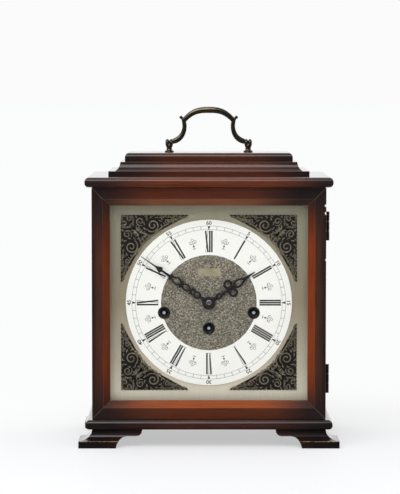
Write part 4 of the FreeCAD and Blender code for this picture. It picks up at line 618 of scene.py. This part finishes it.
sweep(mesh, line, [w * MM for w in ARCH_WIDTHS + ARCH_WIDTHS[-2::-1]], circle(24))
bail = make_piece("bail", mesh, aged_brass, "handle", ["handle_bail"])
fuse(bail, 0.26 * MM, 2)

# %% [markdown]
# ## The print on the chapter ring
# The ring carries the usual printed figures: Roman hours with their feet to the centre and four strokes for
# the fourth, a minute track with a triangle at every fifth minute, numbers outside it, and a small fleur at
# every half hour. Print is a skin of ink a few hundredths of a millimetre thick, so the strokes are thin
# slabs. The numbers use Blender's own font, turned into mesh.

# %% Ink
ink = metal("printing_ink", "#16171B", "#202126", (0.5, 0.6), 1.5, metallic=0.0)
INK_FRONT, INK_BACK = RING_FRONT - 0.03 * MM, RING_FRONT + 0.01 * MM


def on_dial(turn, across, out):
    """The (x, z) of a point on the dial: an angle clockwise from twelve, then millimetres across and out."""
    a = math.radians(turn)
    return ((out * math.sin(a) + across * math.cos(a)) * MM,
            DIAL_Z + (out * math.cos(a) - across * math.sin(a)) * MM)


def stroke(mesh, turn, start, end, wide_start, wide_end=None):
    """A straight inked stroke from one (across, out) to another, with its widths in mm."""
    wide_end = wide_start if wide_end is None else wide_end
    run = Vector((end[0] - start[0], end[1] - start[1])).normalized()
    corners = []
    for (across, out), half in ((start, wide_start / 2), (end, wide_end / 2), (end, -wide_end / 2),
                                (start, -wide_start / 2)):
        corners.append(on_dial(turn, across - run.y * half, out + run.x * half))
    slab(mesh, corners, INK_FRONT, INK_BACK)


# %% Roman hours
HOURS = ["XII", "I", "II", "III", "IIII", "V", "VI", "VII", "VIII", "IX", "X", "XI"]
FEET, HEADS = 45.8, 64.9
WIDTH = {"I": 1.9, "V": 3.5, "X": 3.5}
THICK, THIN, SERIF = 1.42, 0.36, 0.22
mesh = bmesh.new()
for hour, figure in enumerate(HOURS):
    turn = 30 * hour
    left = -sum(WIDTH[c] for c in figure) / 2
    first = left
    for letter in figure:
        middle = left + WIDTH[letter] / 2
        reach = WIDTH[letter] / 2 - 0.7
        if letter == "I":
            stroke(mesh, turn, (middle, FEET), (middle, HEADS), THICK)
        elif letter == "V":
            stroke(mesh, turn, (middle - reach, HEADS), (middle, FEET), THICK * 1.1, THICK * 0.5)
            stroke(mesh, turn, (middle + reach, HEADS), (middle + 0.2, FEET), THIN)
        else:
            stroke(mesh, turn, (middle - reach, HEADS), (middle + reach, FEET), THICK)
            stroke(mesh, turn, (middle + reach, HEADS), (middle - reach, FEET), THIN)
        left += WIDTH[letter]
    for height in (FEET, HEADS):
        stroke(mesh, turn, (first + 0.1, height), (left - 0.1, height), SERIF)
make_piece("hour_figures", mesh, ink, "case", smooth=False)

# %% Minute track and half-hour fleurs
TRACK_IN, TRACK_OUT, LINE, TICK = 66.2, 69.4, 0.22, 0.3
FLEUR_FOOT, FLEUR_KNOT, FLEUR_ARM, FLEUR_TOP = 50.2, 52.6, 55.0, 56.4
PETALS = ((-2.3, 57.6), (0, 59.6), (2.3, 57.6))
PETAL_IN, PETAL_OUT = 0.85, 1.15
mesh = bmesh.new()
for radius in (TRACK_IN, TRACK_OUT):
    flat_ring(mesh, (0, DIAL_Z), (radius - LINE / 2) * MM, (radius + LINE / 2) * MM, INK_FRONT, INK_BACK)
for minute in range(60):
    if minute % 5:
        stroke(mesh, 6 * minute, (0, TRACK_IN), (0, TRACK_OUT), TICK)
    else:
        stroke(mesh, 6 * minute, (0, TRACK_IN - 0.4), (0, TRACK_OUT - 0.3), TICK, 2.2)
for half in range(12):
    turn = 15 + 30 * half
    stroke(mesh, turn, (0, FLEUR_FOOT), (0, FLEUR_TOP), 0.3)
    for out, reach, wide in ((FLEUR_FOOT, 1.5, 0.4), (FLEUR_KNOT, 0.7, 1.3), (FLEUR_ARM, 2.7, 0.3)):
        stroke(mesh, turn, (-reach, out), (reach, out), wide)
    for lean, tall in PETALS:
        flat_ring(mesh, on_dial(turn, lean, tall - 1.1), PETAL_IN * MM, PETAL_OUT * MM,
                  INK_FRONT, INK_BACK, 20)
        stroke(mesh, turn, (lean * 0.9, FLEUR_ARM), (lean, tall - 2.2), 0.26)
make_piece("minute_track", mesh, ink, "case", smooth=False)

# %% Minute numbers
NUMBER_OUT, NUMBER_SIZE, NUMBER_WIDEN = 71.9, 4.6, 1.1
mesh = bmesh.new()
for minute in range(5, 61, 5):
    words = bpy.data.curves.new("number", "FONT")
    words.body, words.align_x, words.align_y = str(minute), "CENTER", "CENTER"
    words.size, words.extrude, words.resolution_u, words.offset = NUMBER_SIZE, 0.01, 3, 0.08
    writer = bpy.data.objects.new("number", words)
    bpy.context.scene.collection.objects.link(writer)
    bpy.context.view_layer.update()
    drawn = bpy.data.meshes.new_from_object(writer.evaluated_get(bpy.context.evaluated_depsgraph_get()))
    for vertex in drawn.vertices:
        x, z = on_dial(6 * minute, vertex.co.x * NUMBER_WIDEN, NUMBER_OUT + vertex.co.y)
        vertex.co = (x, INK_FRONT if vertex.co.z > 0 else INK_BACK, z)
    mesh.from_mesh(drawn)
    bpy.data.objects.remove(writer)
    bpy.data.curves.remove(words)
    bpy.data.meshes.remove(drawn)
bmesh.ops.remove_doubles(mesh, verts=mesh.verts, dist=1e-6)
make_piece("minute_numbers", mesh, ink, "case", smooth=False)

# %% [markdown]
# ## The corner ornaments
# Each corner has a cast brass spandrel: scrolling leaves on a sunk ground. The casting was blackened and
# its high parts rubbed, so height decides its colour. One half of one corner is laid out as scrolls, leaves
# and small curls, measured from the outer corner, and mirrored in the diagonal and to the four corners.

# %% Antiqued brass, dark in its hollows
antique_brass, tree, shader, place = new_finish("antiqued_cast_brass")
grime = noise(tree, place, 1 / (2.2 * MM), 3)
wobble = maths(tree, "MULTIPLY_ADD", grime, 0.55 * MM, split(tree, place)[1])
height = remap(tree, wobble, SPANDREL_HIGH.y - 0.45 * MM, SPANDREL_LOW.y + 0.25 * MM)
tone = add(tree, "ShaderNodeValToRGB", {0: height}, stops=[
    (0.0, "#1C1814"), (0.4, "#332D27"), (0.66, "#857C66"), (1.0, "#DDD3B8")])
plug(tree, shader, {
    "Base Color": tone.outputs[0], "Normal": bump(tree, grime, 0.4, 0.3), "Metallic": 0.3, "Roughness": 0.4})
print("finished", antique_brass.name)

# %% Lay out half of one corner
# Places are in mm: REACH is from the dial's middle to a corner's outer edges, HOLLOW is the radius of the
# hollow round the ring, TIP is how far a corner runs along an edge and GROUND is the depth of its sunk
# ground.
REACH = SPANDREL_HIGH.x / MM
HOLLOW = RING_RADIUS / MM + 3.2
TIP = 61.0
GROUND = SPANDREL_HIGH.y / MM - 0.6
CURL_PITCH, CURL_FIRST, CURL_DRIFT = 2.4, 1.7, 0.5
chance = random.Random(7)
ornaments = []


def clear_of_ring(u, v, air):
    """True where a point measured from the outer corner is on the ornament, with some air to its rim."""
    return math.hypot(REACH - u, REACH - v) > HOLLOW + air and air < u < TIP - air and v > air


def scroll(u, v, outer, inner, start, turns, wide):
    """A winding scroll about (u, v), from its outer to its inner radius."""
    steps = max(10, int(16 * abs(turns)))
    path = []
    for k in range(steps + 1):
        share = k / steps
        angle = math.radians(start) + math.tau * turns * share
        radius = outer + (inner - outer) * share ** 0.8
        path.append((u + radius * math.cos(angle), v + radius * math.sin(angle)))
    ornaments.append((path, [wide * 0.5, wide, wide * 0.9, wide * 0.75, wide * 0.9]))


def leaf(u, v, bearing, length, wide, curl=25):
    """A curved leaf from its root (u, v)."""
    path, angle = [(u, v)], math.radians(bearing)
    for k in range(5):
        u, v = u + length / 5 * math.cos(angle), v + length / 5 * math.sin(angle)
        path.append((u, v))
        angle += math.radians(curl / 2)
    ornaments.append((path, [wide * 0.45, wide, wide * 0.9, wide * 0.25]))


BIG_U, BIG_V, BIG_RIM = 29.0, 9.6, 7.0
scroll(BIG_U, BIG_V, 6.6, 1.2, 150, -1.6, 0.85)
scroll(17.6, 6.0, 4.2, 1.0, 60, 1.4, 0.7)
scroll(41.5, 6.2, 3.3, 0.8, 170, -1.3, 0.6)
scroll(24.5, 19.3, 3.0, 0.7, 20, 1.2, 0.6)
for k in range(9):
    bearing = 150 + 34 * k
    leaf(BIG_U + BIG_RIM * math.cos(math.radians(bearing)), BIG_V + BIG_RIM * math.sin(math.radians(bearing)),
         bearing + 40, 3.2, 0.75, 30)
for k in range(4):
    leaf(15.0, 15.0, 225 + 26 * k, 6.0 - 0.5 * k, 0.95, 10 * k)
    leaf(16.2, 16.2, 45 - 32 * k, 4.6, 0.8, -10 * k)
for k in range(3):
    leaf(5.6 + 0.8 * math.cos(math.radians(225 + 60 * k)), 5.6 + 0.8 * math.sin(math.radians(225 + 60 * k)),
         225 + 60 * k, 2.9, 0.85, 0)
for k in range(6):
    leaf(42 + 3 * k, 5.6 - 0.72 * k, -34, 3.2 - 0.22 * k, 0.62 - 0.04 * k, 12)
    leaf(42 + 3 * k, 5.6 - 0.72 * k, 40, 3.0 - 0.34 * k, 0.6 - 0.04 * k, -20)
ornaments.append((through_points([(12, 17, 0), (20, 16.4, 0), (28, 18.6, 0), (36, 12.2, 0), (45, 6.4, 0),
                                  (53, 3.4, 0), (60, 1.7, 0)], 5), [0.8, 0.9, 0.8, 0.6, 0.3]))
# Small curls fill what the scrolls and leaves leave free; each taken place is a middle and a radius.
taken = [(29, 9.6, 9.0), (17.6, 6.0, 4.8), (41.5, 6.2, 4.2), (24.5, 19.3, 3.4), (15, 15, 6.0),
         (5.6, 5.6, 3.6)]
for row in range(24):
    for column in range(14):
        u = CURL_FIRST + CURL_PITCH * row + chance.uniform(-CURL_DRIFT, CURL_DRIFT)
        v = CURL_FIRST + CURL_PITCH * column + chance.uniform(-CURL_DRIFT, CURL_DRIFT)
        if u < v - 0.5 or not clear_of_ring(u, v, 1.3):
            continue
        if any(math.hypot(u - a, v - b) < c for a, b, c in taken):
            continue
        scroll(u, v, chance.uniform(1.0, 1.4), 0.3, chance.uniform(0, 360), chance.choice((-1, 1)) * 0.9, 0.5)
print("half a corner has", len(ornaments), "scrolls and leaves")

# %% Mirror it into four corner ornaments
SCALLOP, SCALLOP_DEEP, EDGE_STEPS = 3.4, 0.75, 60
RIM_MIDDLE, RIM_STEPS = 24.4, 40
mesh = bmesh.new()
outer_edge = []
for k in range(EDGE_STEPS + 1):
    u = TIP * (1 - k / EDGE_STEPS)
    outer_edge.append((u, SCALLOP_DEEP * (1 - abs(math.sin(math.pi * u / SCALLOP)))))
inner_edge = []
for k in range(RIM_STEPS + 1):
    u = TIP - (TIP - RIM_MIDDLE) * k / RIM_STEPS
    inner_edge.append((u, min(REACH - math.sqrt(HOLLOW ** 2 - (REACH - u) ** 2), 0.4 + (TIP - u) * 0.55)))
rim = outer_edge + [(v, u) for u, v in reversed(outer_edge[:-1])]
rim += [(v, u) for u, v in inner_edge[1:]] + [(u, v) for u, v in reversed(inner_edge[1:-1])]
for right in (-1, 1):
    for up in (-1, 1):
        slab(mesh, [(right * (REACH - u) * MM, DIAL_Z + up * (REACH - v) * MM) for u, v in rim],
             GROUND * MM, SPANDREL_HIGH.y)
        for path, widths in ornaments:
            for swap in (False, True):
                line = []
                for p in path:
                    u, v = (p[1], p[0]) if swap else (p[0], p[1])
                    line.append(Vector((right * (REACH - u) * MM, (GROUND - 0.1) * MM,
                                        DIAL_Z + up * (REACH - v) * MM)))
                sweep(mesh, line, [w * MM for w in widths], circle(6), 0.72 * MM)
make_piece("spandrels", mesh, antique_brass, "case", ["corner_spandrels"])

# %% [markdown]
# ## The hands
# The hands are serpentine hands: flat steel, sawn and filed into loops round a slim stem, and blacked. Each
# loop and stem is a flat bar with bevelled arrises, which catch a thread of light as filed ones do. Places
# are in mm, across and along the hand from the dial's middle, and the hands tell the time that the
# photograph shows.

# %% Draw one hand
MINUTE_TURN, HOUR_TURN = 304.6, 56.1
HALF_THICK = 0.27
# Every half-width below is multiplied by this, which makes the hands as heavy as the photograph shows them.
HEAVY = 1.15


def bar(hand, points, widths, shrink=0.0, closed=False):
    """A flat bar of a hand (its mesh, turn and depth) through (across, along) points."""
    mesh, turn, depth = hand
    flat = [Vector((x, depth * MM, z)) for x, z in (on_dial(turn, c, a) for c, a in points)]
    line = flat if closed else through_points(flat, 5)
    sweep(mesh, line, [w * HEAVY * MM for w in widths], FLAT_SECTION, (HALF_THICK - shrink) * MM, closed)


def loop(hand, across, out, radius, half, shrink=0.0, tall=1.0):
    """A closed ring of a hand."""
    bar(hand, [(across + radius * c, out + tall * radius * s) for c, s in circle(28)], [half], shrink, True)


# %% Minute hand
hand_low, hand_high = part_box("minute_hand")
mesh = bmesh.new()
hand = (mesh, MINUTE_TURN, (hand_low.y + hand_high.y) / 2 / MM)
loop(hand, 0, 0, 4.2, 1.5)
bar(hand, [(0, 5.0), (0, 7.0), (0, 9.8)], [1.9, 1.3, 1.0], 0.01)
loop(hand, 0, 12.6, 2.5, 0.8, 0.02, 1.15)
for side in (-1, 1):
    bar(hand, [(side * 1.0, 15.4), (side * 2.3, 17.2), (side * 0.4, 19.6), (side * -1.6, 22.0),
               (side * -2.4, 25.0), (side * -1.4, 28.0), (side * 0.5, 30.2), (side * 2.6, 33.2),
               (side * 2.8, 36.0), (side * 1.2, 39.6), (0, 42.4)],
        [0.8, 0.75, 0.8, 0.75, 0.75, 0.8, 0.85, 0.75, 0.7, 0.75, 0.9], 0.03 + 0.01 * side)
    bar(hand, [(side * 0.6, 19.4), (side * 2.4, 19.0), (side * 2.9, 20.6)], [0.9, 0.8, 0.5], 0.05)
    bar(hand, [(side * 0.6, 30.4), (side * 2.6, 29.6), (side * 3.0, 31.2)], [0.9, 0.85, 0.5], 0.05)
    bar(hand, [(0, 42.2), (side * 1.6, 41.6), (side * 3.0, 42.8)], [1.2, 1.0, 0.4], 0.06)
bar(hand, [(0, 41.5), (0, 46), (0, 52), (0, 60), (0, 74.0)], [1.3, 0.9, 0.8, 0.55, 0.28], 0.0)
bar(hand, [(0, 51.2), (0, 52.6), (0, 54.6), (0, 57.0), (0, 59.2)], [0.8, 2.6, 1.9, 1.0, 0.5], 0.02)
make_piece("long_hand", mesh, black_steel, "centre_arbor", ["minute_hand"])

# %% Hour hand
hand_low, hand_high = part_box("hour_hand")
mesh = bmesh.new()
hand = (mesh, HOUR_TURN, (hand_low.y + hand_high.y) / 2 / MM)
loop(hand, 0, 0, 3.9, 1.6)
bar(hand, [(0, 5.0), (0, 7.2), (0, 9.2)], [2.2, 1.6, 1.2], 0.01)
loop(hand, 0, 11.2, 2.0, 0.85, 0.02, 1.1)
bar(hand, [(-2.4, 16.2), (0, 15.2), (2.4, 16.2)], [0.5, 1.2, 0.5], 0.03)
bar(hand, [(0, 13.0), (0, 18.0), (0, 24.0), (0, 28.0)], [1.3, 1.0, 1.0, 1.3], 0.0)
for side in (-1, 1):
    loop(hand, side * 4.4, 23.6, 3.2, 0.95, 0.02 + 0.005 * side)
    bar(hand, [(0, 19.0), (side * 1.8, 20.2)], [1.0, 0.7], 0.04)
    bar(hand, [(0, 27.4), (side * 2.4, 29.6), (side * 2.9, 32.6), (side * 1.7, 36.2), (0, 39.4)],
        [1.0, 0.85, 0.8, 0.8, 1.0], 0.03 + 0.01 * side)
    bar(hand, [(0, 39.0), (side * 1.8, 38.6)], [1.2, 0.5], 0.05)
bar(hand, [(0, 38.2), (0, 42), (0, 50.0)], [1.5, 1.1, 0.35], 0.0)
make_piece("short_hand", mesh, black_steel, "hour_works", ["hour_hand"])

# %% [markdown]
# ## Hand nut and winding bushes
# A small turned steel nut holds the minute hand. Black enamelled bushes line the three winding holes, and the
# square ends of the winding arbors shine inside them.

# %% Steel of the winding squares
def squared_steel(name, x, z):
    """Arbor steel that is bright only on the square's end, polished by wear, and painted dark round it as
    painted shade in the winding hole.
    """
    made, tree, shader, place = new_finish(name)
    spot = split(tree, place)
    flat = add(tree, "ShaderNodeCombineXYZ", {0: spot[0], 2: spot[2]}).outputs[0]
    # Painted shade: the steel darkens away from the middle of the winding hole.
    painted_hole_shade = remap(tree, vectors(tree, "DISTANCE", flat, (x * MM, 0, z * MM)), 0.9 * MM, 1.7 * MM)
    grit = noise(tree, place, 1 / (0.8 * MM))
    plug(tree, shader, {
        "Base Color": mix(tree, painted_hole_shade, "#C9CDD3", "#26262A"), "Roughness": remap(tree, grit, 0, 1, 0.25, 0.45),
        "Metallic": 0.5})
    return made


# The middle of each winding hole, in mm across and up.
BUSHES = {"time_arbor": (0.0, 105.6), "strike_arbor": (-40.4, 119.6), "chime_arbor": (40.4, 119.6)}
for arbor, (x, z) in BUSHES.items():
    dress([arbor], squared_steel("steel_of_" + arbor, x, z))
print("winding squares:", len(BUSHES))

# %% Hand nut
nut_low, nut_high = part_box("hand_nut")
mesh = bmesh.new()
turning(mesh, 1, (0, nut_low.y, DIAL_Z), [(r * MM, far * MM) for r, far in (
    (0.9, 0.55), (1.1, 0.5), (1.25, 0.12), (1.6, 0.0), (2.2, 0.12), (2.7, 0.45), (2.9, 0.8))]
    + [(2.9 * MM, nut_high.y - nut_low.y)])
nickel = metal("dull_nickel_plate", "#9B9191", "#857B7B", (0.25, 0.35), 2)
make_piece("turned_nut", mesh, nickel, "centre_arbor", ["hand_nut"])

# %% Winding bushes
bush_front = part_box("winding_bushes")[0].y
BUSH = [(3.32, 3.0), (4.25, 3.0), (4.25, 0.62), (5.3, 0.62), (5.45, 0.4), (5.2, 0.1), (4.6, 0.0),
        (3.9, 0.12), (3.45, 0.5), (3.32, 1.0)]
mesh = bmesh.new()
for x, z in BUSHES.values():
    rings = spin(mesh, 1, (x * MM, bush_front, z * MM), [(r * MM, far * MM) for r, far in BUSH], 48)
    bridge(mesh, rings + rings[:1])
make_piece("enamelled_bushes", mesh, black_enamel, "case", ["winding_bushes"])

# %% [markdown]
# ## Floor, light and camera
# The photograph is a studio shot on white paper. The paper is a large floor whose colour goes from a cool
# white in front of the clock to pure white behind it. The world lights everything evenly; what the camera,
# and metal and glass in mirror directions, see of it is white, but its front is dim for mirrors, as a dark
# room behind a camera is. One broad soft lamp above gives the shadow and the bright threads on the arrises.

# %% Paper floor
FLOOR_SIZE = 30.0
mesh = bmesh.new()
bmesh.ops.create_grid(mesh, x_segments=40, y_segments=40, size=FLOOR_SIZE)
paper_shape = bpy.data.meshes.new("paper_floor")
mesh.to_mesh(paper_shape)
mesh.free()
paper = bpy.data.objects.new("paper_floor", paper_shape)
bpy.context.scene.collection.objects.link(paper)
paper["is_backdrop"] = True
made, tree, shader, place = new_finish("studio_paper")
spot = split(tree, place)
tone = mix(tree, remap(tree, spot[1], -0.12, 0.16, kind="SMOOTHSTEP"), "#F6F6FB", "#FCFCFC")
fibre = noise(tree, place, 1 / (0.8 * MM))
plug(tree, shader, {"Base Color": tone, "Normal": bump(tree, fibre, 0.05, 0.05), "Roughness": 0.6})
# For the camera and in mirrors the paper also glows white: at half strength at and in front of the clock,
# which paints the clock's shadow on it lighter, and at full strength far behind. In mirrors the paper in
# front of the clock shows instead as a dim grey glow, which paints its reflection in the clock dark.
ray = add(tree, "ShaderNodeLightPath").outputs
seen = maths(tree, "MAXIMUM", ray["Is Camera Ray"], ray["Is Glossy Ray"])
seen = maths(tree, "MAXIMUM", seen, ray["Is Transmission Ray"])
bright = maths(tree, "MULTIPLY", seen, remap(tree, spot[1], 0.05, 0.5, 0.5, 1.0, "SMOOTHSTEP"))
unlit = maths(tree, "MULTIPLY", remap(tree, spot[1], 0.0, -0.05), ray["Is Glossy Ray"])
surface = shader.outputs[0]
for share, glow in ((bright, "#FBFCFC"), (unlit, "#2A2A2A")):
    light = add(tree, "ShaderNodeEmission", {0: glow, 1: 1.0}).outputs[0]
    surface = add(tree, "ShaderNodeMixShader", {0: share, 1: surface, 2: light}).outputs[0]
plug(tree, tree.nodes["Material Output"], {"Surface": surface})
paper_shape.materials.append(made)
print("floor is", FLOOR_SIZE * 2, "m wide")

# %% World
FILL, CLEAR_VIEW = 0.9, 0.965
world = bpy.data.worlds.new("studio")
bpy.context.scene.world = world
world.use_nodes = True
tree = world.node_tree
way = add(tree, "ShaderNodeTexCoord").outputs["Generated"]
room = remap(tree, split(tree, way)[1], -0.35, 0.6, 0.02, 0.97)
ray = add(tree, "ShaderNodeLightPath").outputs
clear_view = maths(tree, "MAXIMUM", ray["Is Camera Ray"], ray["Is Transmission Ray"])
level = FILL
for share, light in ((ray["Is Glossy Ray"], room), (clear_view, CLEAR_VIEW)):
    level = add(tree, "ShaderNodeMix", {FACTOR: share, 2: level, 3: light}, data_type="FLOAT").outputs[0]
plug(tree, tree.nodes["Background"], {"Strength": level, "Color": "#FFFFFF"})
print("world fill", FILL)

# %% Lamp
lamp_data = bpy.data.lights.new("soft_box", "AREA")
lamp_data.shape, lamp_data.size, lamp_data.size_y = "RECTANGLE", 1.6, 1.0
lamp_data.energy = 13.0
lamp = bpy.data.objects.new("soft_box", lamp_data)
bpy.context.scene.collection.objects.link(lamp)
lamp.location = (-0.5, -1.1, 1.5)
lamp.rotation_euler = (Vector((0, 0, 0.15)) - lamp.location).to_track_quat("-Z", "Y").to_euler()
print("lamp of", lamp_data.energy, "W")

# %% Camera
LENS, TILT = 167.35, 4.1
camera_data = bpy.data.cameras.new("photo_camera")
camera_data.lens, camera_data.sensor_width = LENS, 36.0
camera_data.clip_start, camera_data.clip_end = 0.05, 100.0
camera = bpy.data.objects.new("photo_camera", camera_data)
bpy.context.scene.collection.objects.link(camera)
camera.location = (-0.008, -2.116, 0.327)
camera.rotation_euler = (math.radians(90 - TILT), 0, 0)
bpy.context.scene.camera = camera
bpy.context.scene.view_settings.view_transform = "Standard"
print("camera is", round(-camera.location.y, 3), "m in front")

# %% [markdown]
# ## The size
# The dressed clock's box is measured against the CAD model's box, and how much it grew is printed.

# %% Print how much the box grew
bpy.context.view_layer.update()
visual_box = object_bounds()
growth = (visual_box[1] - visual_box[0]) - (cad_box[1] - cad_box[0])
print("grew by, in mm:", [round(v / MM, 2) for v in growth])
